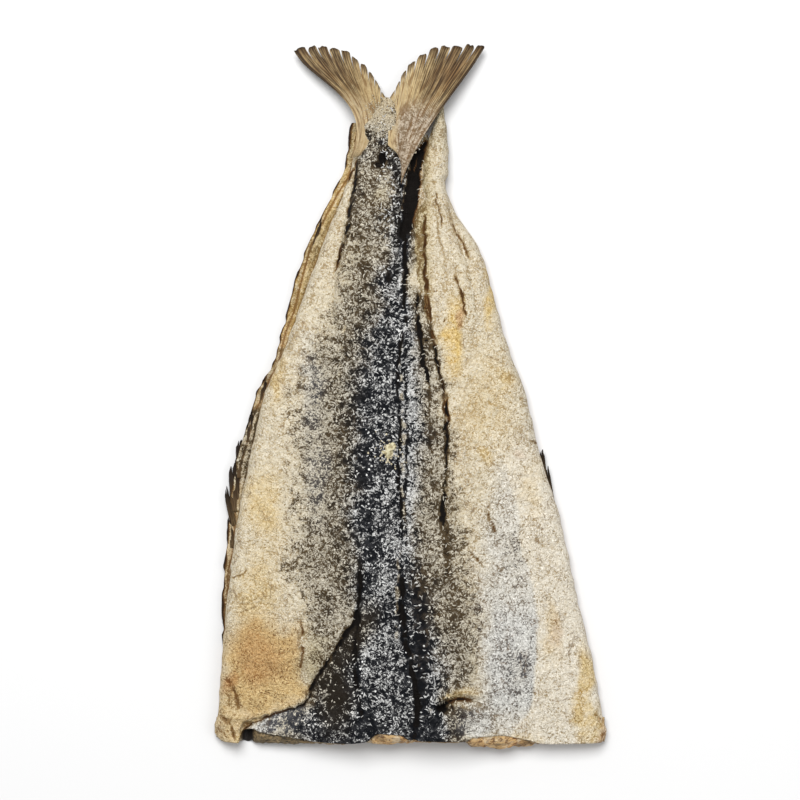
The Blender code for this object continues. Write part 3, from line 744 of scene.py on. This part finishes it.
# The tail stalk: the thick strip of back skin and backbone that lies on the body and carries the
# tail. It is round at both edges, caked with salt and has a hole near its upper end, painted dark with
# shade.
STALK_LEFT = (
    (348, -70), (418, -80), (478, -75), (538, -64), (563, -59), (588, -55), (602, -49), (612, -42),
    (621, -36),
)
STALK_RIGHT = (
    (348, -12), (403, -11), (468, -8), (548, -7), (566, -8), (578, -3), (590, 1), (602, -4),
    (612, -11), (621, -19),
)
STALK_CREST = ((348, 26.4), (403, 32), (452, 35), (508, 34.4), (565, 31.2), (605, 28.5), (621, 23))


def crest(keys, relief=1.0):
    """A top whose height follows the keys along the fish, with wrinkles and furrows."""
    height = curve(keys)
    return lambda x, y: height(y) + relief * (wrinkles(x, y) + 0.5 * grain(x, y, 7, 9)) - creasing(x, y)[0]


def level(keys):
    """An underside whose height follows the keys along the fish."""
    height = curve(keys)
    return lambda x, y: height(y) + 0 * x


stalk_strip = Strip(
    STALK_LEFT, STALK_RIGHT, crest(STALK_CREST), level(((348, 12), (641, 12))), lip=0.3, radius=14.0,
    ragged=1.6)
stalk = strip_mesh("tail_stalk", stalk_strip, rows=200, columns=48, under_columns=16)
stalk_x, stalk_y, _ = places_of(stalk)
stalk_zones = skin_zones(*places_of(stalk))
hollow = (-31, 556)
frost = 0.2 * grain(stalk_x, stalk_y, 16, 57)
ashen = 0.52 - 0.1 * spot(stalk_x, stalk_y, (-52, 500), (30, 40)) + frost
ashen = ashen + 0.42 * step(-24, -12, stalk_x) * step(600, 570, stalk_y)
ashen = ashen * step(0.0, 5.0, stalk_x - curve(STALK_LEFT)(stalk_y))
ashen = ashen * (1 - 0.6 * spot(stalk_x, stalk_y, hollow, (12, 17)))
ashen = np.maximum(ashen, 0.75 * spot(stalk_x, stalk_y, (-28, 606), (15, 10)))
upper = step(455, 520, stalk_y)
tanned = 0.4 * upper + 0.6 * spot(stalk_x, stalk_y, hollow, (13, 19))
stalk_zones["dark"] = stalk_zones["dark"] * (1 - upper) + ashen * upper
stalk_zones["olive"] = np.maximum(stalk_zones["olive"], tanned)
stalk_zones["yellow"] = np.maximum(
    stalk_zones["yellow"], 0.5 * spot(stalk_x, stalk_y, (-30, 552), (10, 17)))
lay_on(stalk, stalk_zones)
stalk.data.materials.append(skin)
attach(stalk, "root")


# The right belly flap: dried belly skin rolled up beside the stalk, with folds along it and a
# gap between it and the stalk, painted black with shade.
FLAP_LEFT = (
    (318, 28), (358, 18), (428, 6), (483, -1), (522, 0.5), (536, 3), (550, 11), (571, 10), (592, 11.5),
    (610, 18), (623, 24), (645, 26.4),
)
FLAP_RIGHT = (
    (318, 60), (368, 70), (418, 72), (458, 67), (513, 51), (543, 42), (568, 37), (588, 39),
    (618, 37), (645, 33.9),
)
FLAP_CREST = ((318, 19.2), (381, 28), (452, 30.8), (565, 28), (614, 22.4), (645, 12))

flap_strip = Strip(
    FLAP_LEFT, FLAP_RIGHT, crest(FLAP_CREST, relief=0.8), level(((424, 11.2), (530, 4), (645, 3.2))),
    lip=0.3, radius=13.0, ragged=1.7)
flap = strip_mesh("right_flap", flap_strip, rows=200, columns=34, under_columns=14)
flap_zones = skin_zones(*places_of(flap))
flap_x, flap_y, _ = places_of(flap)
roll = step(26, 13, flap_x) * step(385, 430, flap_y)
flap_zones["olive"] = np.maximum.reduce([
    flap_zones["olive"], 0.8 * roll, 0.5 * step(590, 615, flap_y)])
flap_zones["yellow"] = np.maximum(flap_zones["yellow"], 0.6 * roll)
flap_zones["dark"] = flap_zones["dark"] * step(470, 400, flap_y)
lay_on(flap, flap_zones)
flap.data.materials.append(skin)
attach(flap, "root")


# The left hem: the edge of the left belly flap, folded under the body so that only its layered,
# browned rim shows beyond it.
HEM_OUTER = (
    (103, -188), (148, -188), (218, -183), (273, -178), (298, -172), (318, -166), (338, -160),
    (356, -154), (372, -146), (384, -138), (404, -133), (428, -126), (448, -121), (498, -106),
    (530, -91), (558, -78), (588, -65), (608, -62.6), (628, -59),
)
UNDER_BODY = 16
LAYER_WIDTH = 9.5
hem_inner = [(y, float(curve(BODY_LEFT)(y)) + UNDER_BODY) for y, _ in HEM_OUTER]


def hem_sway(y):
    """How the layers of the hem wander across along the fish, from -1 to 1."""
    return grain(y, 0 * y, 22, 51)


def hem_top(x, y):
    """Height of the hem: two folded layers side by side, uneven along the fish."""
    off = x - curve(HEM_OUTER)(y) + 1.5 * hem_sway(y)
    layers = 1.1 * np.cos(off * 2 * math.pi / LAYER_WIDTH)
    return 8.5 + layers + 0.9 * grain(x, y, 14, 52) + 0.4 * grain(x, y, 4, 53)


hem_strip = Strip(
    HEM_OUTER, hem_inner, hem_top, level(((103, 0.4), (628, 0.4))), lip=0.55, radius=4.0, ragged=1.4)
hem = strip_mesh("left_hem", hem_strip, rows=360, columns=26, under_columns=8)
hem_x, hem_y, hem_z = places_of(hem)
hem_off = hem_x - curve(HEM_OUTER)(hem_y)
groove = np.exp(-(((hem_off - 6.0 + 2.0 * hem_sway(hem_y)) / 2.2) ** 2))
dirt = 0.4 * step(260, 150, hem_y) * (0.6 + 0.4 * grain(hem_x, hem_y, 12, 56))
hem_zones = skin_zones(hem_x, hem_y, hem_z)
hem_zones["dark"] = 0.25 * step(250, 270, hem_y) * step(345, 335, hem_y)
hem_zones["brown"] = np.clip(0.1 + 0.5 * grain(hem_x, hem_y, 30, 54), 0, 1)
hem_zones["yellow"] = 0.3 + 0.5 * step(380, 440, hem_y)
hem_zones["olive"] = np.clip(0.42 + 0.5 * grain(hem_x, hem_y, 25, 58), 0, 1)
hem_zones["stain"] = np.maximum(0.55 * groove, dirt)
# Painted shadow where the hem runs under the body's edge; also darker along its outer edge and in the
# middle of its groove.
hem_zones["crease_shade"] = np.maximum.reduce([
    0.85 * step(3.4, 0.6, hem_off + 1.5 * grain(hem_x, hem_y, 9, 55)),
    0.5 * groove**3,
    0.6 * step(3.0, 7.5, hem_x - curve(BODY_LEFT)(hem_y) + 6),
])
lay_on(hem, hem_zones)
hem.data.materials.append(skin)
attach(hem, "root")


# The tail: two lobes of stiff rays joined by dried skin, darker towards the tips, where it has
# split between the rays. The rays come out of the stalk under a cushion of salted flesh.
LEFT_TIPS = (
    (703, -119.5), (705, -104), (706, -92), (704, -79), (700, -65), (693, -55), (685, -45),
    (675, -37), (662, -30), (650, -23),
)
LEFT_ROOTS = ((590, -60), (592, -52), (596, -42), (600, -27))
RIGHT_TIPS = (
    (707, 78), (706, 66), (706, 53), (705, 38), (703, 26), (696, 12), (687, 0), (676, -8),
    (664, -14), (652, -21),
)
RIGHT_ROOTS = ((563, -9), (580, -9), (592, -12), (602, -22))


def between(keys, share):
    """Across and along at shares of the way through (along, across) keys."""
    places = np.linspace(0, 1, len(keys))
    y, x = (curve(list(zip(places, column)))(share) for column in zip(*keys))
    return x, y


# Brings the highest value of r (1 - r)^2, which is 4/27, to 1, so that a bend is in millimetres
BOW_TO_ONE = 6.75


def fan(tips, roots, bend, heights, tongues, rays, seed, thick=1.1, ragged=0.035):
    """A fan of thin overlapping tongues, each ridged by its rays and ragged at its tip.

    Along a tongue t runs from 0 at the root to 1 at the tip; a is the share of the way across the
    fan, and bend is how far its first and last ray bow sideways. Returns the rings of every tongue,
    and a, t and the depth between rays at their points."""
    rng = np.random.default_rng(seed)
    k = np.arange(tongues)[:, None, None]
    u = np.linspace(-1, 1, 6 * rays + 1)[None, None, :]
    t = np.linspace(0, 1, 26)[None, :, None] ** 0.9
    a = np.clip((k + 0.5 + u * (0.56 - 0.13 * step(0.74, 1, t))) / tongues, 0, 1)
    notch = rng.uniform(0.0, 1.0, (tongues, 1, 1)) ** 2
    uneven = 0.35 * rng.uniform(-0.5, 1, (tongues, 1, 1))
    short = ragged * (1.1 * notch * np.abs(u) ** 6 - 0.3 * u + uneven)
    short = short + 0.3 * ragged * grain(a * tongues * rays * 1.1, 0 * a, 1, seed + 5)
    reach = t * (1 - np.maximum(short, -0.01) * step(0.5, 1.0, t))
    tip_x, tip_y = between(tips, a)
    root_x, root_y = between(roots, a)
    run_x, run_y = tip_x - root_x, tip_y - root_y
    length = np.hypot(run_x, run_y)
    bow = (bend[0] + (bend[1] - bend[0]) * a) * BOW_TO_ONE * reach * (1 - reach) ** 2
    x = root_x + run_x * reach - run_y / length * bow
    y = root_y + run_y * reach + run_x / length * bow
    swerve = 0.006 * grain(t * 3, a * 5, 1, seed + 9)
    ridge = np.abs(np.sin((a + swerve) * math.pi * tongues * rays)) ** 0.7
    z = heights[0] + (heights[1] - heights[0]) * t + 0.35 * u + 0.9 * np.sin(a * 9 + 3 * t) * t
    z = z + 0.5 * grain(x, y, 12, seed)
    half = thick * (1 - 0.5 * t) * (0.25 + 0.75 * ridge) + 0 * u
    above = (np.stack([x, y, z + half], 3), a, t + 0 * a, 1 - ridge)
    below = (np.stack([x, y, z - half], 3), *above[1:])
    around = [np.concatenate([up, down[:, :, ::-1]], 2) for up, down in zip(above, below)]
    from_right = tips[0][1] > tips[-1][1]
    return [part[:, :, ::-1] for part in around] if from_right else around


def ray_noise(f, across, along, detail, roughness, distortion):
    """Noise drawn out along the rays: so many bumps across the fan and along it."""
    places = f.nodes.new("ShaderNodeCombineXYZ")
    f.put(places.inputs["X"], f.times(f.attribute("fan"), across))
    f.put(places.inputs["Y"], f.times(f.attribute("ray"), along))
    return f.noise_at(places.outputs["Vector"], detail, roughness, distortion)


def horn():
    """Dried fin: tan rays with dark lines between them, nearly black at tips and outer edges."""
    f = Finish("dried_fin", roughness=0.65, specular=0.12)
    streaks = ray_noise(f, across=56.0, along=4.0, detail=3.0, roughness=0.6, distortion=0.0)
    folds = ray_noise(f, across=17.0, along=5.0, detail=2.0, roughness=0.5, distortion=0.6)
    mottle, flecks = f.noise(6, 3.0, 0.6, 0.5), f.noise(3, 3.0, 0.6, 1.0)
    line, burnt = f.attribute("line"), f.attribute("burnt")
    shade = f.plus(burnt, f.swing(streaks, 2.2))
    shade = f.times(f.ramp(shade, 0.1, 0.9), f.ramp(burnt, 0.0, 0.35, 0.25, 1.0))
    colour = f.over(
        f.blend(f.ramp(mottle, 0.3, 0.7), (160, 136, 95), (194, 172, 128)),
        (f.attribute("pale"), f.blend(f.ramp(streaks, 0.35, 0.65), (180, 154, 108), (224, 206, 168))),
        (f.attribute("frost"), f.blend(f.ramp(flecks, 0.42, 0.58), (112, 92, 74), (200, 188, 172))),
        (f.attribute("ruddy"), (158, 112, 66)),
        (f.times(f.ramp(folds, 0.52, 0.36), 0.7), (120, 88, 50)),
        (f.times(burnt, 0.5), (116, 92, 62)),
        (f.times(shade, 0.95), (62, 46, 30)),
        (f.times(line, f.ramp(streaks, 0.4, 0.62, 0.25, 1.0)), (52, 38, 24)),
        (f.ramp(burnt, 0.72, 1.0), (34, 26, 19)))
    return f.finish(colour, f.bump(streaks, 0.5, 0.0006))


fin_look = horn()
TIP_HEIGHT = 12
LOBE_TONGUES, LOBE_RAYS = 10, 4
for name, tips, roots, bend, root_height, ruddy, pale_inside, frosting, seed in (
        ("left_lobe", LEFT_TIPS, LEFT_ROOTS, (-24, 0), 25, 0.1, 0.25, 0.15, 61),
        ("right_lobe", RIGHT_TIPS, RIGHT_ROOTS, (6, 0), 33.5, 0.55, 0.7, 0.8, 62)):
    rings, a, t, line = fan(
        tips, roots, bend, (root_height, TIP_HEIGHT), LOBE_TONGUES, LOBE_RAYS, seed)
    lobe = closed_mesh(name, rings)
    burnt = np.maximum.reduce([
        step(0.86, 1.02, t) * (0.95 - 0.35 * a), step(0.10, 0.02, a) * step(0.25, 0.6, t) * 0.85,
        0.6 * step(0.7, 0.3, a) * step(0.35, 0.68, t)])
    lay_on(lobe, {
        "line": line * (0.8 + 0.2 * step(0.1, 0.45, t)),
        "burnt": burnt,
        "pale": np.clip(step(0.62, 0.3, t) + pale_inside * step(0.45, 0.8, a), 0, 1),
        "ruddy": ruddy * spot(a, t, (0.2, 0.8), (0.12, 0.14)),
        "frost": frosting * step(0.62, 0.4, t) * step(0.95, 0.6, a),
        "fan": a,
        "ray": t,
    })
    lobe.data.materials.append(fin_look)
    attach(lobe, "root")


# The cushion at the root of the tail: flesh and salt caked over the places where the rays start.
PAD_LEFT = ((600, -40), (612, -46), (624, -44), (638, -36), (652, -27))
PAD_RIGHT = ((600, -12), (612, -4), (624, -3), (638, -11), (652, -20))
pad_strip = Strip(
    PAD_LEFT, PAD_RIGHT, crest(((600, 26), (616, 26.5), (638, 23.5), (652, 20))),
    level(((600, 17), (652, 15))), lip=0.3, radius=9.0, ragged=3.0)
pad = strip_mesh("tail_root", pad_strip, rows=60, columns=44, under_columns=12)
pad_x, pad_y, pad_z = places_of(pad)
pad_zones = skin_zones(pad_x, pad_y, pad_z)
pad_zones["olive"] = 0.5 + 0 * pad_x
pad_zones["brown"] = 0.7 * step(612, 624, pad_y)
pad_zones["dark"] = np.clip(0.22 + 0.35 * step(632, 612, pad_y), 0, 1)
lay_on(pad, pad_zones)
pad.data.materials.append(skin)
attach(pad, "root")


# The fins along both folded edges: short blades of dark dried rays that stick out beyond the hem.
# Each row is a root and a tip, along then across, and a width.
BLADES = (
    ((270, -167), (309, -170), 13.0), ((236, -172), (285, -177), 14.0),
    ((222, -176.5), (262, -184), 7.0), ((296, -160), (338, -159), 9.0),
    ((345, -147), (371, -146), 8.0), ((500, -97), (532, -89.4), 5.5), ((200, -178), (232, -181), 7.0),
    ((240, 142.5), (282, 138.5), 7.0), ((266, 134.5), (299, 133), 7.0),
)
BLADE_HEIGHTS = (8.2, 7.2)
for number, (root, tip, width) in enumerate(BLADES):
    (root_along, root_across), (tip_along, tip_across) = root, tip
    length = tip_along - root_along
    blade_roots = ((root_along, root_across - width / 2), (root_along, root_across + width / 2))
    blade_tips = (
        (tip_along - 0.18 * length, tip_across - 0.4 * width), tip,
        (tip_along - 0.22 * length, tip_across + 0.35 * width))
    rings, a, t, line = fan(
        blade_tips, blade_roots, (0, 0), BLADE_HEIGHTS, tongues=3, rays=2, seed=71 + number, thick=0.9,
        ragged=0.12)
    fin = closed_mesh(f"fin_blade_{number}", rings)
    lay_on(fin, {"line": line, "burnt": 0.7 + 0.3 * t, "pale": 0 * a, "ruddy": 0.1 + 0 * a,
                 "frost": 0 * a, "fan": 0.3 * a, "ray": 0.3 * t})
    fin.data.materials.append(fin_look)
    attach(fin, "root")


# The flesh at the neck cut: the thick dried muscle that stands out from under the shrunken skin,
# in layers, with a cavity at the left, painted near black with shade, and golden flakes at the right.
FLESH_END = (
    (-196, 10), (-185, 7.5), (-172, 6), (-168, 7), (-159, 7), (-156, 5), (-150, 4), (-100, 4), (-94, 5),
    (-66, 4), (-44, 6), (-32, 5), (0, 6), (5, 7), (55, 6), (61, 2), (90, 1.5), (120, 2), (126, 4), (196, 5),
)
FLESH_DEPTH = 30
CUT_AT = 12
CAVITY = (-163, 5.5)
flesh_x = np.linspace(-193.5, 194.5, 420)[:, None]
turn = np.linspace(0, 1, 44)[None, :]
flesh_high, flesh_low = body_strip.heights(flesh_x, CUT_AT + 0 * flesh_x)
flesh_high = flesh_high - 1.6 - 1.2 * np.abs(grain(flesh_x, 0 * flesh_x, 18, 81))
flesh_high = flesh_high * (1 - 0.6 * np.exp(-(((flesh_x - CAVITY[0]) / CAVITY[1]) ** 2)))
flesh_low = flesh_low + 0.3
angle = (turn - 0.5) * math.pi
rise = 0.5 + 0.5 * np.sign(np.sin(angle)) * np.abs(np.sin(angle)) ** 0.75
front = np.cos(angle) ** 0.45
flesh_z = flesh_low + (flesh_high - flesh_low) * rise
layers = 1.3 * grain(flesh_x, flesh_z * 2.2, 9, 82) + 0.8 * grain(flesh_x, flesh_z, 3.2, 83)
flakes = 1.6 * np.exp(-(((flesh_x - 92) / 34) ** 2)) * grain(flesh_x * 0.4, flesh_z * 2.0, 5, 86)
stands_out = FLESH_DEPTH - curve(FLESH_END)(flesh_x) + np.maximum(layers + flakes, -1.5)
flesh_y = FLESH_DEPTH - stands_out * front + 0.9
flesh_rings = np.stack([flesh_x + 0 * turn, flesh_y, flesh_z], 2)
flesh = closed_mesh("neck_flesh", flesh_rings[:, ::-1])


def muscle():
    """Dried flesh at the cut: fibrous golden tan, olive brown in its hollows, orange in places, and painted
    shade, near black, in the cavity and between its layers.
    """
    f = Finish("dried_flesh", roughness=0.6)
    fibres = f.noise(2.2, 4.0, 0.65, 0.8, (0.6, 1, 2.2))
    mottle = f.noise(9, 3.0, 0.6, 0.6)
    dim = f.ramp(fibres, 0.38, 0.6)
    colour = f.over(
        f.blend(dim, (92, 68, 42), (196, 164, 116)),
        (f.attribute("gold"), f.blend(dim, (126, 76, 34), (220, 178, 118))),
        (f.ramp(mottle, 0.45, 0.7, 0.0, 0.7), (228, 214, 184)),
        (f.times(f.attribute("olive"), 0.9), f.blend(dim, (38, 32, 22), (126, 108, 76))),
        (f.attribute("crease_shade"), (24, 17, 12)))
    return f.finish(colour, f.bump(fibres, 0.8, 0.0014))


meat_x, meat_y, meat_z = places_of(flesh)
gold = np.maximum(spot(meat_x, meat_z, (-14, 20), (22, 40)), 0.9 * spot(meat_x, meat_z, (92, 12), (34, 30)))
lay_on(flesh, {
    "olive": np.clip(1.5 * spot(meat_x, meat_z, (-130, 12), (34, 40)), 0, 1),
    "gold": np.clip(gold * (0.7 + 0.6 * grain(meat_x, meat_z, 8, 84)), 0, 0.85),
    # Painted shade: near black in the cavity at the left and darker between the layers.
    "crease_shade": np.maximum(step(-170, -167, meat_x) * step(-155, -158, meat_x),
                         0.5 * np.clip(-1.5 * grain(meat_x, meat_z * 2.2, 9, 82) - 0.3, 0, 1)),
})
flesh.data.materials.append(muscle())
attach(flesh, "root")


# The coarse salt: the cod was cured in it and a crust of it stays caked on the back, as thin
# curled slivers and as grains, thickest where the skin is dark.
def surface(x, y):
    """Height of the highest skin at a place."""
    height = body_strip.heights(x, y)[0]
    for strip in (stalk_strip, flap_strip, pad_strip, hem_strip):
        left, right, _ = strip.edges(y)
        inside = (x > left) & (x < right) & (y > strip.first) & (y < strip.last)
        height = np.where(inside, np.maximum(height, strip.heights(x, y)[0]), height)
    return height


SALT_ACROSS, SALT_ALONG = (-190, 190), (24, 655)
SKIN_LAST = 614
ABOVE_FLESH = 20


def scatter(amount, seed, weigh):
    """Places on the fish, kept where a random number is below the weight of their zones there."""
    rng = np.random.default_rng(seed)
    x, y = rng.uniform(*SALT_ACROSS, amount), rng.uniform(*SALT_ALONG, amount)
    left, right, _ = body_strip.edges(np.minimum(y, SKIN_LAST))
    rim = rng.uniform(4, 18, amount)
    kept = (x > left + rim) & (x < right - rim)
    beside_stalk = (y > 470) & (x < curve(STALK_LEFT)(y) + 3)
    on_flap = (y > 430) & (x > curve(FLAP_LEFT)(y) + 6) & (x < curve(FLAP_RIGHT)(y))
    kept = kept & (~(beside_stalk | on_flap) | (rng.uniform(0, 1, amount) < 0.3))
    x, y = x[kept], y[kept]
    weight = weigh(skin_zones(x, y, ABOVE_FLESH + 0 * x)) * (0.75 + 0.7 * grain(x, y, 9, 46))
    kept = rng.uniform(0, 1, len(x)) < weight
    return x[kept], y[kept]


def slivers(name, x, y, length, width, rings, seed):
    """Curled slivers: bars of three sides, bent in plan, that follow the skin under them."""
    rng = np.random.default_rng(seed)
    count = len(x)
    size = rng.uniform(*length, count)[:, None]
    thick = rng.uniform(*width, count)[:, None]
    turned, curl = rng.uniform(0, 2 * math.pi, (count, 1)), rng.uniform(-0.9, 0.9, (count, 1))
    s = np.linspace(-1, 1, rings)[None, :]
    heading = turned + curl * s
    middle_x = x[:, None] + size / 2 * (s * np.cos(turned) - curl * 0.5 * (s * s - 0.5) * np.sin(turned))
    middle_y = y[:, None] + size / 2 * (s * np.sin(turned) + curl * 0.5 * (s * s - 0.5) * np.cos(turned))
    middle_z = surface(middle_x, middle_y) + 0.25
    wide = thick / 2 * np.sqrt(1.04 - s * s)
    around = (np.arange(3) * 2 * math.pi / 3 + math.pi / 2)[None, None, :]
    side, up = np.cos(around) * wide[..., None], np.sin(around) * wide[..., None]
    bars = np.stack([
        middle_x[..., None] - side * np.sin(heading)[..., None],
        middle_y[..., None] + side * np.cos(heading)[..., None],
        middle_z[..., None] + 0.9 * up], 3)
    return closed_mesh(name, bars)


def caked_salt():
    """Caked salt: white on the back, stained like the skin under it elsewhere."""
    f = Finish("caked_salt", roughness=0.5, specular=0.5)
    return f.finish(light_tone(f, f.attribute("tint")))


def salt_piece(name, x, y, length, width, rings, seed):
    """Slivers at the given places, coloured by the zone that each lies in."""
    piece = slivers(name, x, y, length, width, rings, seed)
    each = 3 * rings
    zones = skin_zones(x, y, ABOVE_FLESH + 0 * x)
    values = {key: np.repeat(value, each) for key, value in zones.items()}
    values["tint"] = np.repeat(np.random.default_rng(seed + 1).uniform(0.25, 1, len(x)), each)
    lay_on(piece, values)
    return piece


salt_look = caked_salt()
back_x, back_y = scatter(amount=19500, seed=91, weigh=lambda z: (
    step(0.1, 0.35, z["dark"]) * (1 - 0.6 * z["dark"] ** 2 + 0.6 * z["salt"]) * (1 - z["crease_shade"])
    * (1 - 0.45 * z["olive"])))
flank_x, flank_y = scatter(amount=20000, seed=93, weigh=lambda z: (
    step(0.35, 0.1, z["dark"]) * (1 - z["crease_shade"]) * (1 - 0.8 * z["brown"])))
CURL_LENGTHS, CURL_WIDTHS = (2.2, 4.8), (0.9, 1.8)
FLAKE_LENGTHS, FLAKE_WIDTHS = (2.2, 4.6), (0.6, 1.1)
back_salt = salt_piece(
    "salt_curls", back_x, back_y, CURL_LENGTHS, CURL_WIDTHS, rings=5, seed=92)
flank_salt = salt_piece(
    "salt_flakes", flank_x, flank_y, FLAKE_LENGTHS, FLAKE_WIDTHS, rings=4, seed=94)
for piece in (back_salt, flank_salt):
    piece.data.materials.append(salt_look)
    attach(piece, "root")


# The coarse grains: lumps of salt, and crumbs of skin and flesh, that stuck to the fish while it
# was cured and dried. They gather on the back and where the tail comes out of the stalk.
RINGS, AROUND = 4, 5
EACH_CRUMB = RINGS * AROUND


def crumbs(name, x, y, z, radius, seed):
    """Uneven lumps: rings of points, from low to high, every point pushed in or out at random."""
    rng = np.random.default_rng(seed)
    size = radius[:, None, None]
    rise = np.array([0.12, 0.38, 0.62, 0.88])[None, :, None] * math.pi
    start = rng.uniform(0, 6, (len(x), 1, 1))
    around = np.arange(AROUND)[None, None, :] * 2 * math.pi / AROUND + start
    size = size * rng.uniform(0.75, 1.3, (len(x), RINGS, AROUND))
    return closed_mesh(name, np.stack([
        x[:, None, None] + size * np.sin(rise) * np.cos(around),
        y[:, None, None] + size * np.sin(rise) * np.sin(around),
        z[:, None, None] - 0.75 * size * np.cos(rise)], 3))


# Heaps of crumbs at the left and right of the tail's root and on the lump: how many, their middle
# and their spread across, then along
HEAPS = ((600, (-26, 10), (631, 9)), (420, (2, 10), (622, 14)), (60, (-21, 7), (296, 8)))
LUMP_END, PAD_START = 330, 596

# At the tail's root no crumb lies further right than a slanting line, which runs beside the gap, and
# none lies lower than the cushion, which slopes down towards the tips
rng = np.random.default_rng(96)
some_x, some_y = scatter(
    amount=5200, seed=97,
    weigh=lambda z: (0.10 + 0.5 * z["dark"] + 0.2 * z["grey"]) * (1 - z["crease_shade"]))
root_x = np.concatenate([rng.normal(*across, count) for count, across, _ in HEAPS])
root_y = np.concatenate([rng.normal(*along, count) for count, _, along in HEAPS])
at_root = (root_y < 656) & (root_x > -52) & ((root_y < LUMP_END) | (root_x < 0.55 * (root_y - 566) - 8))
root_x, root_y = root_x[at_root], root_y[at_root]
root_z = np.maximum(surface(root_x, root_y), 25.4 - 0.11 * np.clip(root_y - 592, 0, 200))
crumb_x, crumb_y = np.concatenate([some_x, root_x]), np.concatenate([some_y, root_y])
crumb_z = np.concatenate([surface(some_x, some_y), root_z]) + 0.2
tail_root = crumb_y > PAD_START
crumb_size = np.where(tail_root, 0.62, 1.0) * rng.uniform(0.55, 1.3, len(crumb_x))
grains = crumbs("salt_grains", crumb_x, crumb_y, crumb_z, crumb_size, seed=98)
by_lump = (crumb_y < LUMP_END) & (np.arange(len(crumb_x)) >= len(some_x))
grain_zones = skin_zones(crumb_x, crumb_y, ABOVE_FLESH + 0 * crumb_x)
for zone, where, value in (
        ("dark", tail_root, 0.3 + 0.5 * step(-10, 6, crumb_x)), ("dark", by_lump, 0.1),
        ("olive", by_lump, 0.8), ("olive", tail_root, 0.4),
        ("yellow", tail_root, 0.3 * step(-10, -25, crumb_x)),
        ("brown", tail_root & (crumb_y > 616), 0.6)):
    grain_zones[zone] = np.where(where, value, grain_zones[zone])
grain_zones["tint"] = rng.uniform(0.2, 1, len(crumb_x)) * np.where(tail_root, 0.7, 1)
lay_on(grains, {key: np.repeat(value, EACH_CRUMB) for key, value in grain_zones.items()})
grains.data.materials.append(salt_look)
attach(grains, "root")


# The pale lump on the back: a knob of dried flesh and salt stuck to the skin beside the groove.
# It is one lumpy closed ball, pressed flat against the skin.
LUMP_PLACE, LUMP_SEAT = (-21, 297), (-22.0, 296.0)
LUMP_REACH = (8.5, 9.0, 4.4)
ring_turn = np.linspace(0, 2 * math.pi, 49)[None, :-1]
ring_rise = np.linspace(0.03, 0.97, 22)[:, None] * math.pi
bumps = grain(3 * np.cos(ring_turn), 3 * np.sin(ring_turn) + 2 * ring_rise, 1.5, 95)
lump_size = 0.82 + 0.42 * bumps * np.sin(ring_rise)
lump_z = surface(*np.array(LUMP_SEAT)[:, None])[0] - 0.6
lump = closed_mesh("pale_lump", np.stack([
    LUMP_PLACE[0] + LUMP_REACH[0] * lump_size * np.sin(ring_rise) * np.cos(ring_turn),
    LUMP_PLACE[1] + LUMP_REACH[1] * lump_size * np.sin(ring_rise) * np.sin(ring_turn),
    lump_z - LUMP_REACH[2] * lump_size * np.cos(ring_rise) + 0 * ring_turn], 2))
pale = Finish("pale_crumb", roughness=0.6)
lump.data.materials.append(pale.finish(
    pale.blend(pale.ramp(pale.noise(3, 3.0), 0.35, 0.65), (138, 124, 86), (208, 200, 166)),
    pale.bump(pale.noise(2, 2.0), 0.6, 0.001)))
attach(lump, "root")


# The floor and the light: a white table under a broad soft light that stands high above the tail, a
# weak one at the right and pale light all round. The camera looks almost straight down, from a
# little to the neck's side, and takes in 0.8 metres at the height of the fish.
TILT = math.radians(88)
DISTANCE = 2.6
AIM = (-0.010, -0.005, 0.02)
VIEW_WIDTH, SENSOR = 0.8, 36
camera = bpy.data.objects.new("camera", bpy.data.cameras.new("camera"))
bpy.context.scene.collection.objects.link(camera)
camera.location = (
    AIM[0], AIM[1] - DISTANCE * math.cos(TILT), AIM[2] + DISTANCE * math.sin(TILT))
camera.rotation_euler = (math.pi / 2 - TILT, 0, 0)
camera.data.lens = SENSOR * DISTANCE / VIEW_WIDTH
camera.data.sensor_width = SENSOR
bpy.context.scene.camera = camera

FLOOR_REACH, FLOOR_DROP = 4, -0.0002
white = Finish("white_table", roughness=0.9, specular=0.1)
white.shader.inputs["Base Color"].default_value = (0.66, 0.66, 0.66, 1.0)
corners = [(x * FLOOR_REACH, y * FLOOR_REACH, 0) for x, y in ((-1, -1), (1, -1), (1, 1), (-1, 1))]
table = bpy.data.meshes.new("table")
table.from_pydata(corners, [], [(0, 1, 2, 3)])
floor = bpy.data.objects.new("table", table)
floor.location.z = FLOOR_DROP
table.materials.append(white.material)
bpy.context.scene.collection.objects.link(floor)


def soft_light(name, place, size, power):
    """A square area light at a place, turned to the middle of the fish."""
    light = bpy.data.lights.new(name, "AREA")
    light.energy, light.size = power, size
    lamp = bpy.data.objects.new(name, light)
    x, y, z = place
    lamp.location = place
    lamp.rotation_euler = (math.atan2(math.hypot(x, y), z), 0, math.atan2(y, x) + math.pi / 2)
    bpy.context.scene.collection.objects.link(lamp)


soft_light("key", (-0.5, 1.5, 3.2), size=2.2, power=168)
soft_light("fill", (1.5, -0.5, 1.9), size=1.4, power=14)
world = bpy.data.worlds.new("studio")
world.use_nodes = True
world.node_tree.nodes["Background"].inputs["Color"].default_value = (1, 1, 1, 1)
world.node_tree.nodes["Background"].inputs["Strength"].default_value = 0.40
bpy.context.scene.world = world
bpy.context.scene.view_settings.view_transform = "Standard"
